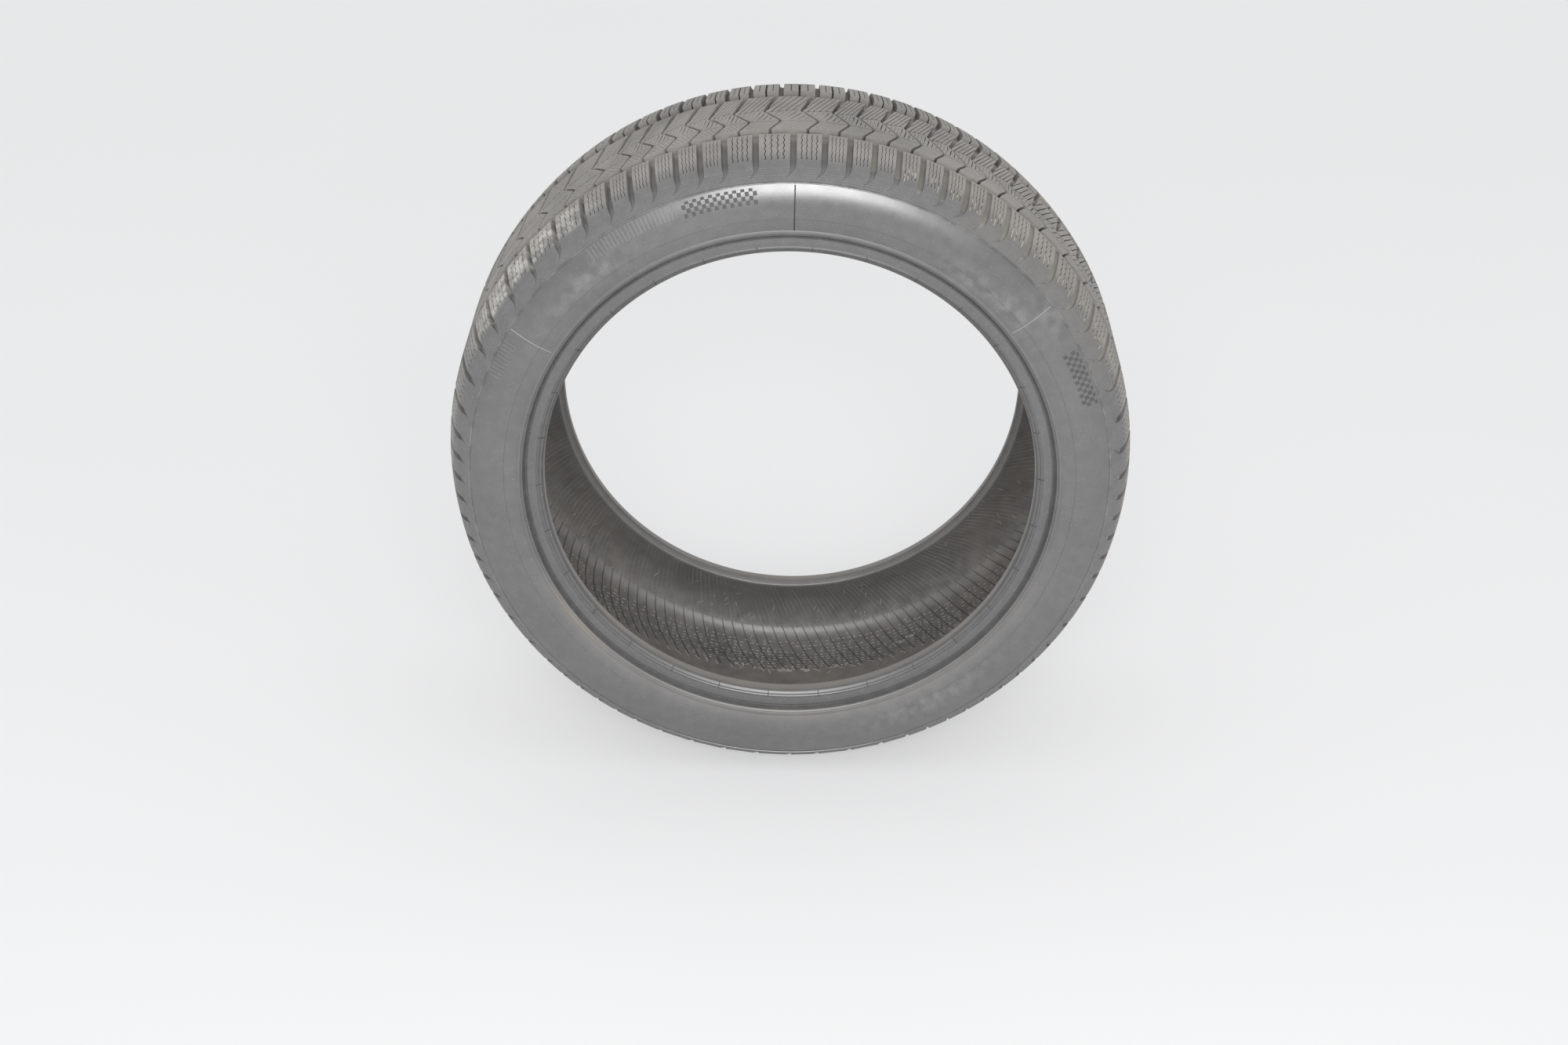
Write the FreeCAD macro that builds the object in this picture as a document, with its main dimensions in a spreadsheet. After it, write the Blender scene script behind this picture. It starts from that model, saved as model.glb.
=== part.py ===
import FreeCAD, Part
import os

import Sketcher

# Car tyre, one vulcanised piece, standing upright on its tread.
# Frame: origin at the wheel centre, the tyre turns about Y, Z is up, sizes in millimetres.
# The section is measured from three sizes: a drop is taken down from the outer radius, a rise is
# taken up from the bore radius, and an inset is taken in from the widest point of the sidewall.

SIZES = {
    "outer_radius": 322.5,
    "bore_radius": 229.0,
    "section_half": 125.5,
    # Tread edge, rounded shoulder and the moulded line where the sidewall starts
    "tread_drop": 6.7,
    "tread_inset": 32.5,
    "shoulder_corner_drop": 10.3,
    "shoulder_corner_inset": 20.0,
    "shoulder_drop": 17.5,
    "shoulder_inset": 13.0,
    "edge_drop": 24.0,
    "edge_inset": 6.5,
    # Rim protector rib above the flange groove
    "protector_rise": 24.5,
    "protector_inset": 3.0,
    "protector_width": 3.5,
    # Bead that sits on the rim: flange face, heel, tapered seat, straight bore and toe
    "flange_rise": 17.5,
    "flange_inset": 8.7,
    "heel_rise": 9.0,
    "heel_inset": 6.9,
    "heel_corner_rise": 4.0,
    "heel_corner_inset": 7.5,
    "seat_rise": 2.2,
    "seat_inset": 12.0,
    "bore_inset": 15.0,
    "toe_inset": 22.0,
    "toe_bevel": 2.0,
    # Air cavity
    "cavity_foot_rise": 6.0,
    "cavity_foot_inset": 27.5,
    "sidewall_thickness": 14.0,
    "cavity_top_drop": 27.0,
    "cavity_top_inset": 21.5,
    "cavity_crown_drop": 14.5,
    "cavity_crown_inset": 41.5,
    # Two main grooves that run round the tread, measured from the middle plane
    "groove_depth": 6.5,
    "groove_draft": 1.2,
    "front_groove_outer": 61.0,
    "front_groove_inner": 50.0,
    "back_groove_inner": 38.0,
    "back_groove_outer": 53.0,
    # Slots that cross the two shoulder rows, with their turn about the axle from the top
    "slot_depth": 6.0,
    "slot_end_rise": 1.5,
    "front_slot_degrees": 1.0,
    "front_slot_turn": 0.0,
    "back_slot_degrees": 0.9,
    "back_slot_turn": 3.8,
    # Zigzag slots that cross the middle rows from groove to groove: axial places of the two bends,
    # sideways place of the start and sideways shifts of the three stretches
    "zigzag_depth": 5.5,
    "zigzag_start": 10.0,
    "first_bend": 28.0,
    "second_bend": 1.0,
    "first_shift": 12.5,
    "second_shift": 16.0,
    "third_shift": 13.0,
    "zigzag_narrow": 2.6,
    "zigzag_wide": 6.0,
    # Flat spot under the tyre's own weight
    "flat_depth": 3.1,
    # Room that cutting outlines keep outside the rubber
    "clearance": 4.0,
}

# Straight pieces that make up each rounded stretch of the section
HEEL_PIECES = 2
SIDEWALL_PIECES = 3
SHOULDER_PIECES = 2
LINER_PIECES = 2

# Blocks come in three lengths, which spreads the noise: long, medium and short. One run of them is
# repeated round the tyre
BLOCK_LENGTHS = {"L": 6, "M": 5, "S": 4}
BLOCK_RUN = "MSSSSSSSSMLLMLLLLMSSSSSML"
BLOCK_RUNS = 3

FULL_TURN = 360.0
FRONT = -1
BACK = 1


class Dim:
    """A size with its number and the cell formula that gives it."""

    def __init__(self, value, text):
        self.value = value
        self.text = text

    def __add__(self, other):
        return Dim(self.value + other.value, f"({self.text} + {other.text})")

    def __sub__(self, other):
        return Dim(self.value - other.value, f"({self.text} - {other.text})")

    def __neg__(self):
        return Dim(-self.value, f"(-{self.text})")

    def times(self, share):
        return Dim(self.value * share, f"({self.text} * {share})")


def size(alias):
    """Driving size by its alias."""
    return Dim(SIZES[alias], "Sizes." + alias)


def below(drop):
    """Radius below the tread surface."""
    return size("outer_radius") - size(drop)


def above(rise):
    """Radius above the bore."""
    return size("bore_radius") + size(rise)


def inside(inset):
    """Half width inside the widest point."""
    return size("section_half") - size(inset)


def groove_middle(row):
    """Half width at the middle of a main groove."""
    return (size(row + "_groove_outer") + size(row + "_groove_inner")).times(0.5)


def rounded(start, corner, end, pieces):
    """Start of a rounded stretch and its bends, on a parabola that leans on the corner."""
    bends = []
    for piece in range(pieces):
        share = piece / pieces
        weights = ((1 - share) ** 2, 2 * share * (1 - share), share**2)
        point = []
        for axis in (0, 1):
            parts = [place[axis].times(weight) for place, weight in zip((start, corner, end), weights)]
            point.append(parts[0] + parts[1] + parts[2])
        bends.append(tuple(point))
    return bends


def bulge(start, end, widest):
    """Corner that makes a rounded stretch reach a given half width midway."""
    half = widest.times(2) - (start[0] + end[0]).times(0.5)
    return (half, (start[1] + end[1]).times(0.5))


def mirrored(points):
    """The same points on the other half, in reverse order."""
    return [(-across, up) for across, up in reversed(points)]


def outer_half_points():
    """Outside of the back half, from the toe of the bead to the tread edge."""
    heel_foot = (inside("seat_inset"), above("seat_rise"))
    heel_corner = (inside("heel_corner_inset"), above("heel_corner_rise"))
    heel_top = (inside("heel_inset"), above("heel_rise"))
    rib_top = (inside("protector_inset"), above("protector_rise"))
    rib_foot = (inside("protector_inset"), above("protector_rise") - size("protector_width"))
    edge = (inside("edge_inset"), below("edge_drop"))
    shoulder_foot = (inside("shoulder_inset"), below("shoulder_drop"))
    shoulder_corner = (inside("shoulder_corner_inset"), below("shoulder_corner_drop"))
    tread_edge = (inside("tread_inset"), below("tread_drop"))
    return [
        (inside("toe_inset"), size("bore_radius")),
        (inside("bore_inset"), size("bore_radius")),
        *rounded(heel_foot, heel_corner, heel_top, HEEL_PIECES),
        heel_top,
        (inside("flange_inset"), above("flange_rise")),
        rib_foot,
        *rounded(rib_top, bulge(rib_top, edge, size("section_half")), edge, SIDEWALL_PIECES),
        edge,
        *rounded(shoulder_foot, shoulder_corner, tread_edge, SHOULDER_PIECES),
        tread_edge,
    ]


def inner_half_points():
    """Air cavity of the back half, from the middle of the tread down to the toe."""
    foot = (inside("cavity_foot_inset"), above("cavity_foot_rise"))
    top = (inside("cavity_top_inset"), below("cavity_top_drop"))
    liner = rounded(top, bulge(top, foot, inside("sidewall_thickness")), foot, LINER_PIECES)
    bevel = size("toe_bevel")
    return [
        (inside("cavity_crown_inset"), below("cavity_crown_drop")),
        *liner,
        foot,
        (inside("toe_inset") - bevel, size("bore_radius") + bevel),
    ]


def section_points():
    """Closed section: back bead, tread, front bead and the air cavity between them."""
    outer = outer_half_points()
    inner = inner_half_points()
    crown = [
        (groove_middle("back"), size("outer_radius")),
        (-groove_middle("front"), size("outer_radius")),
    ]
    return outer + crown + mirrored(outer) + mirrored(inner) + inner


def on_side(points, side):
    """Points of the back half, moved to the front half where asked."""
    return points if side == BACK else mirrored(points)


def groove_points(row, side):
    """Drafted main groove."""
    outer = size(row + "_groove_outer")
    inner = size(row + "_groove_inner")
    draft = size("groove_draft")
    top = size("outer_radius")
    over = top + size("clearance")
    floor = below("groove_depth")
    walls = [(inner, top), (inner + draft, floor), (outer - draft, floor), (outer, top)]
    return on_side([(inner, over), *walls, (outer, over)], side)


def slot_points(row, side):
    """Slot that leaves a main groove, follows the shoulder and runs out above the edge line."""
    start = groove_middle(row)
    end = inside("edge_inset")
    over = size("outer_radius") + size("clearance")
    depth = size("slot_depth")
    points = [
        (start, over),
        (start, size("outer_radius") - depth),
        (inside("tread_inset"), below("tread_drop") - depth),
        (end, below("edge_drop") + size("slot_end_rise")),
        (end, over),
    ]
    return on_side(points, side)


def zigzag_points():
    """Slot seen from above: three slanted stretches, of which the last widens to the back groove."""
    narrow = size("zigzag_narrow").times(0.5)
    wide = size("zigzag_wide").times(0.5)
    start = size("zigzag_start")
    first = start + size("first_shift")
    second = first - size("second_shift")
    third = second + size("third_shift")
    bends = [
        (start, -groove_middle("front"), narrow),
        (first, -size("first_bend"), narrow),
        (second, -size("second_bend"), narrow),
        (third, groove_middle("back"), wide),
    ]
    right = [(middle + half, place) for middle, place, half in bends]
    left = [(middle - half, place) for middle, place, half in reversed(bends)]
    return right + left


def flat_points():
    """Square that reaches past the tread on all sides."""
    reach = size("section_half") + size("clearance")
    return [(-reach, -reach), (reach, -reach), (reach, reach), (-reach, reach)]


def make_sheet(document):
    """Write every driving size into a cell with its own alias."""
    sheet = document.addObject("Spreadsheet::Sheet", "Sizes")
    for row, (alias, value) in enumerate(SIZES.items(), start=1):
        sheet.set(f"A{row}", alias)
        sheet.set(f"B{row}", str(value))
        sheet.setAlias(f"B{row}", alias)
    document.recompute()


def origin_feature(body, role):
    """Origin plane or axis of a body, found by its role."""
    return next(item for item in body.Origin.OriginFeatures if item.Role == role)


def axle(body):
    """Axis that the tyre turns about."""
    return (origin_feature(body, "Y_Axis"), [""])


def add_sketch(body, name, role):
    """Empty sketch on one of the body's origin planes."""
    sketch = body.newObject("Sketcher::SketchObject", name)
    sketch.AttachmentSupport = [(origin_feature(body, role), "")]
    sketch.MapMode = "FlatFace"
    return sketch


def draw_outline(sketch, points):
    """Closed outline whose every corner is bound to the sheet."""
    first = sketch.GeometryCount
    count = len(points)
    corners = [FreeCAD.Vector(across.value, up.value, 0) for across, up in points]
    for number in range(count):
        sketch.addGeometry(Part.LineSegment(corners[number], corners[(number + 1) % count]), False)
    for number, (across, up) in enumerate(points):
        edge = first + number
        before = first + (number - 1) % count
        sketch.addConstraint(Sketcher.Constraint("Coincident", before, 2, edge, 1))
        for kind, dim in (("DistanceX", across), ("DistanceY", up)):
            index = sketch.addConstraint(Sketcher.Constraint(kind, -1, 1, edge, 1, dim.value))
            sketch.setExpression(f"Constraints[{index}]", dim.text)


def add_feature(body, kind, name, sketch):
    """Feature made from a sketch of the same body."""
    feature = body.newObject(kind, name)
    feature.Profile = sketch
    feature.Refine = False
    return feature


def check_cut(feature, before):
    """Recompute and make sure that the feature took rubber away."""
    feature.Document.recompute()
    if not feature.Shape.Volume < before.Shape.Volume:
        raise RuntimeError(f"{feature.Name} cuts nothing")


def add_carcass(body):
    """Section turned once round the axle."""
    sketch = add_sketch(body, "section", "YZ_Plane")
    draw_outline(sketch, section_points())
    carcass = add_feature(body, "PartDesign::Revolution", "carcass", sketch)
    carcass.ReferenceAxis = axle(body)
    carcass.Angle = FULL_TURN
    body.Document.recompute()
    return carcass


def add_main_grooves(body, before):
    """The two grooves that run all the way round."""
    sketch = add_sketch(body, "main_groove_outlines", "YZ_Plane")
    draw_outline(sketch, groove_points("front", FRONT))
    draw_outline(sketch, groove_points("back", BACK))
    grooves = add_feature(body, "PartDesign::Groove", "main_grooves", sketch)
    grooves.ReferenceAxis = axle(body)
    grooves.Angle = FULL_TURN
    check_cut(grooves, before)
    return grooves


def add_shoulder_slot(body, before, row, side):
    """One slot across a shoulder row, cut by turning its outline a little about the axle."""
    sketch = add_sketch(body, row + "_slot_outline", "YZ_Plane")
    about_axle = FreeCAD.Rotation(FreeCAD.Vector(1, 0, 0), 1.0)
    sketch.AttachmentOffset = FreeCAD.Placement(FreeCAD.Vector(0, 0, 0), about_axle)
    sketch.setExpression("AttachmentOffset.Rotation.Angle", f"Sizes.{row}_slot_turn")
    draw_outline(sketch, slot_points(row, side))
    slot = add_feature(body, "PartDesign::Groove", row + "_slot", sketch)
    slot.ReferenceAxis = axle(body)
    slot.Midplane = True
    slot.setExpression("Angle", f"Sizes.{row}_slot_degrees")
    check_cut(slot, before)
    return slot


def add_zigzag(body, before):
    """One zigzag slot of the middle rows, cut straight down."""
    sketch = add_sketch(body, "zigzag_outline", "XY_Plane")
    sketch.setExpression("AttachmentOffset.Base.z", "Sizes.outer_radius + Sizes.clearance")
    draw_outline(sketch, zigzag_points())
    zigzag = add_feature(body, "PartDesign::Pocket", "zigzag", sketch)
    zigzag.setExpression("Length", "Sizes.clearance + Sizes.zigzag_depth")
    check_cut(zigzag, before)
    return zigzag


def add_blocks(body, slots):
    """Repeat the slots round the tyre in the uneven steps of the block run."""
    steps = [BLOCK_LENGTHS[letter] for letter in BLOCK_RUN * BLOCK_RUNS]
    blocks = body.newObject("PartDesign::PolarPattern", "blocks")
    blocks.Originals = slots
    blocks.Axis = axle(body)
    blocks.Refine = False
    blocks.Occurrences = len(steps)
    blocks.Mode = "Spacing"
    blocks.Spacings = [step * FULL_TURN / sum(steps) for step in steps[:-1]]
    body.Tip = blocks
    check_cut(blocks, slots[-1])
    return blocks


def add_flat_spot(body, before):
    """Flat that the tread stands on, where its weight presses it down."""
    sketch = add_sketch(body, "flat_outline", "XY_Plane")
    sketch.setExpression("AttachmentOffset.Base.z", "Sizes.flat_depth - Sizes.outer_radius")
    draw_outline(sketch, flat_points())
    flat = add_feature(body, "PartDesign::Pocket", "flat_spot", sketch)
    flat.setExpression("Length", "Sizes.flat_depth + Sizes.clearance")
    body.Tip = flat
    check_cut(flat, before)


def check_document(document):
    """Stop on any failed object."""
    for item in document.Objects:
        if "Invalid" in item.State or "Error" in item.State:
            raise RuntimeError(f"{item.Name} failed: {item.State}")


def check_body(body):
    """Stop unless the body is one sound solid."""
    shape = body.Shape
    if shape.isNull() or not shape.isValid() or len(shape.Solids) != 1:
        raise RuntimeError(f"{body.Label} is not one sound solid")


def build_tyre(document):
    """The whole tyre as one body."""
    body = document.addObject("PartDesign::Body", "tyre")
    body.Label = "tyre"
    carcass = add_carcass(body)
    grooves = add_main_grooves(body, carcass)
    front_slot = add_shoulder_slot(body, grooves, "front", FRONT)
    back_slot = add_shoulder_slot(body, front_slot, "back", BACK)
    zigzag = add_zigzag(body, back_slot)
    blocks = add_blocks(body, [front_slot, back_slot, zigzag])
    add_flat_spot(body, blocks)
    return body


doc = FreeCAD.newDocument("car_tyre")
make_sheet(doc)
tyre = build_tyre(doc)
check_document(doc)
check_body(tyre)
os.makedirs("parts", exist_ok=True)
tyre.Shape.exportStep(f"parts/{tyre.Label}.step")
print(f"{tyre.Label}: {tyre.Shape.Volume / 1e6:.3f} litres, {len(tyre.Shape.Faces)} faces")
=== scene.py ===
"""A worn car tyre standing on its tread: block tread with sipes, sidewalls, beads and liner.

Sizes are in millimetres and become metres when a mesh is made. The axle is Y, the front
sidewall faces -Y, and angles round the axle start at the top and go towards +X.
"""

import logging
import math
from dataclasses import dataclass, field
from enum import Enum
from typing import Dict, List, Sequence, Tuple, Union

import bpy
import numpy as np
from mathutils import Matrix

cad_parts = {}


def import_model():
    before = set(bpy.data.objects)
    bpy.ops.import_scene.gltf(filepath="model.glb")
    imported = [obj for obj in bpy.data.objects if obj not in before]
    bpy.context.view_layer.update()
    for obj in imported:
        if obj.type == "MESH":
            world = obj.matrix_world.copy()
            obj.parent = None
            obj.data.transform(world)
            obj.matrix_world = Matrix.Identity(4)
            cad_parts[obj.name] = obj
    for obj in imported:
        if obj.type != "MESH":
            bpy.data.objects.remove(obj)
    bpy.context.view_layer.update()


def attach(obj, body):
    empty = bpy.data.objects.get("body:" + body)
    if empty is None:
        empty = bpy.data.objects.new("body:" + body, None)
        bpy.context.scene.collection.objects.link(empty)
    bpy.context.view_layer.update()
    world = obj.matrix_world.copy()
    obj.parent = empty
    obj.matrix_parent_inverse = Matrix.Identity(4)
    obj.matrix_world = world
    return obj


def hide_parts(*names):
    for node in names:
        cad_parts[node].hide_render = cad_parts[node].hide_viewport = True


Array = np.ndarray
Amount = Union[float, np.ndarray]
Colour = Tuple[float, float, float]
Marks = Dict[str, np.ndarray]
Point = Tuple[float, float]
Value = Union[float, bpy.types.NodeSocket]

log = logging.getLogger("tyre")

MILLIMETRE = 0.001
FULL_TURN = 2.0 * math.pi
BODY = "root"
NODE = "tyre"
GROUND = -319.4
RING_COLUMNS = 360
RING = np.linspace(0.0, FULL_TURN, RING_COLUMNS, endpoint=False)
CREASE = math.radians(32.0)
SUNK = -0.15
NORMAL_STEP = 0.5


class Side(Enum):
    """The two sides of the tyre, with the sign of Y on each."""

    FRONT = -1.0
    BACK = 1.0

    def label(self) -> str:
        """The side's name as it stands in a piece's name."""
        return self.name.lower()


# Curves


def soft_step(value: Array, low: float, high: float) -> Array:
    """Goes smoothly from nought at low to one at high: three squares less two cubes."""
    part = np.clip((value - low) / (high - low), 0.0, 1.0)
    return part * part * (3.0 - 2.0 * part)


def soft_fall(value: Array, low: float, high: float) -> Array:
    """Goes smoothly from one at low to nought at high: the soft step turned round."""
    return soft_step(-value, -high, -low)


def length_along(run: Array) -> Array:
    """Distance from a run's first point along it to each of its points."""
    return np.concatenate([[0.0], np.cumsum(np.linalg.norm(np.diff(run, axis=0), axis=1))])


def on_side(run: Array, side: Side) -> Array:
    """A half section's run on one side, in the order that makes its faces point outwards."""
    mirrored = run * np.array([side.value, 1.0])
    return mirrored[::-1] if side is Side.FRONT else mirrored


def monotone_curve(at: Array, knots: Array, values: Array) -> Array:
    """A smooth curve through the knots that doesn't overshoot them.

    Formula: a Hermite cubic between neighbouring knots. The slope at an inner knot is the
    harmonic mean of the two secants that meet there, or nought where they differ in sign.

    Args:
        at: Where the curve is read.
        knots: The knots' places, rising.
        values: The knots' values.

    Returns:
        The curve's value at each place.
    """
    step = np.diff(knots)
    secant = np.diff(values) / step
    product = secant[:-1] * secant[1:]
    total = secant[:-1] + secant[1:]
    safe = np.where(product > 0.0, total, 1.0)
    inner = np.where(product > 0.0, 2.0 * product / safe, 0.0)
    slope = np.concatenate([secant[:1], inner, secant[-1:]])
    cell = np.clip(np.searchsorted(knots, at, side="right") - 1, 0, len(step) - 1)
    part = (at - knots[cell]) / step[cell]
    rest = 1.0 - part
    low = values[cell] * (1.0 + 2.0 * part) + slope[cell] * step[cell] * part
    high = values[cell + 1] * (1.0 + 2.0 * rest) - slope[cell + 1] * step[cell] * rest
    return low * rest ** 2 + high * part ** 2


def rounded_run(points: Sequence[Point], radius: float, steps: int) -> Array:
    """A run of straight pieces with its inner corners rounded.

    Formula: each inner corner is a quadratic curve from a point on one piece to a point on
    the next, both the radius away from the corner or at half of the shorter piece.

    Args:
        points: The run's corners.
        radius: How far from a corner the rounding starts.
        steps: Points on each rounding.

    Returns:
        The points of the rounded run, two columns.
    """
    run = np.asarray(points, dtype=float)
    piece = np.diff(run, axis=0)
    length = np.linalg.norm(piece, axis=1, keepdims=True)
    unit = piece / length
    reach = np.minimum(radius, 0.5 * np.minimum(length[:-1], length[1:]))
    corner = run[1:-1]
    before = corner - unit[:-1] * reach
    after = corner + unit[1:] * reach
    part = np.linspace(0.0, 1.0, steps)[None, :, None]
    bend = (before[:, None] * (1.0 - part) ** 2
            + 2.0 * corner[:, None] * part * (1.0 - part)
            + after[:, None] * part ** 2)
    return np.concatenate([run[:1], bend.reshape(-1, 2), run[-1:]])


def divided_run(run: Array, spacing: float) -> Array:
    """The same run with points along it at most about a spacing apart.

    Formula: the points are read at even distances along the run, together with its own, and
    a point that lies within a tenth of the spacing of the one before is left out.

    Args:
        run: The run's points, two columns.
        spacing: The largest distance between neighbours.

    Returns:
        The denser run.
    """
    along = length_along(run)
    even = np.linspace(0.0, along[-1], max(2, int(along[-1] / spacing) + 1))
    merged = np.unique(np.round(np.concatenate([along, even]), 4))
    keep = np.concatenate([[True], np.diff(merged) > 0.1 * spacing])
    keep[-1] = True
    return np.stack([np.interp(merged[keep], along, run[:, 0]),
                     np.interp(merged[keep], along, run[:, 1])], axis=1)


def raised(run: Array, stretch: Array, rise: Array) -> Tuple[Array, Array]:
    """Places that stand off a run along its normal, which is its direction turned a quarter.

    Formula: the place on the run at a distance along it, plus the rise times the normal. The
    direction is read between two places a little before and after.

    Args:
        run: The section's points: width along the axle and radius.
        stretch: Distances along the run.
        rise: How far each place stands off it.

    Returns:
        The places' widths and radii.
    """
    along = length_along(run)
    place, before, after = (
        np.stack([np.interp(at, along, run[:, 0]), np.interp(at, along, run[:, 1])])
        for at in (stretch, stretch - NORMAL_STEP, stretch + NORMAL_STEP))
    slope = after - before
    slope = slope / np.hypot(slope[0], slope[1])
    return place[0] - slope[1] * rise, place[1] + slope[0] * rise


# Meshes


def in_space(angle: Array, width: Array, radius: Array) -> Array:
    """Places round the axle as points in metres, pressed flat where they meet the ground.

    Formula: x is the radius times the sine of the angle, y is the width, z is the radius
    times the cosine, and z is held at the ground's height at least.

    Args:
        angle: Angle from the top, in radians.
        width: Distance along the axle.
        radius: Distance from the axle.

    Returns:
        Points with three columns.
    """
    height = np.maximum(radius * np.cos(angle), GROUND)
    spots = np.broadcast_arrays(radius * np.sin(angle), width, height)
    return np.stack(spots, axis=-1) * MILLIMETRE


def ring_faces(rows: int, columns: int) -> Array:
    """Quads of a grid that closes on itself round the axle.

    Args:
        rows: Points along the section.
        columns: Points round the axle.

    Returns:
        Vertex numbers, four columns.
    """
    row, column = np.meshgrid(np.arange(rows - 1), np.arange(columns), indexing="ij")
    after = (column + 1) % columns
    quads = [row * columns + column, row * columns + after,
             (row + 1) * columns + after, (row + 1) * columns + column]
    return np.stack(quads, axis=-1).reshape(-1, 4)


def lid_faces(rows: int, columns: int) -> Tuple[Array, Array]:
    """Quads of a raised panel: its top and four walls, without the empty corner cells.

    The panel's grid has one more ring of points round its top, for the foot of its walls.

    Args:
        rows: Points of the top along one way.
        columns: Points of the top along the other.

    Returns:
        The grid points that are used, and the quads that join them, four columns.
    """
    high, wide = rows + 2, columns + 2
    row, column = np.meshgrid(np.arange(high - 1), np.arange(wide - 1), indexing="ij")
    outer_row = (row == 0) | (row == high - 2)
    outer_column = (column == 0) | (column == wide - 2)
    quads = np.stack([row * wide + column, row * wide + column + 1,
                      (row + 1) * wide + column + 1, (row + 1) * wide + column], axis=-1)
    quads = quads[~(outer_row & outer_column)]
    used, compact = np.unique(quads, return_inverse=True)
    return used, compact.reshape(-1, 4)


def with_foot(values: Array) -> Array:
    """A grid with its outermost values written once more all round, for the foot of its walls."""
    return np.pad(values, 1, mode="edge")


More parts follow.
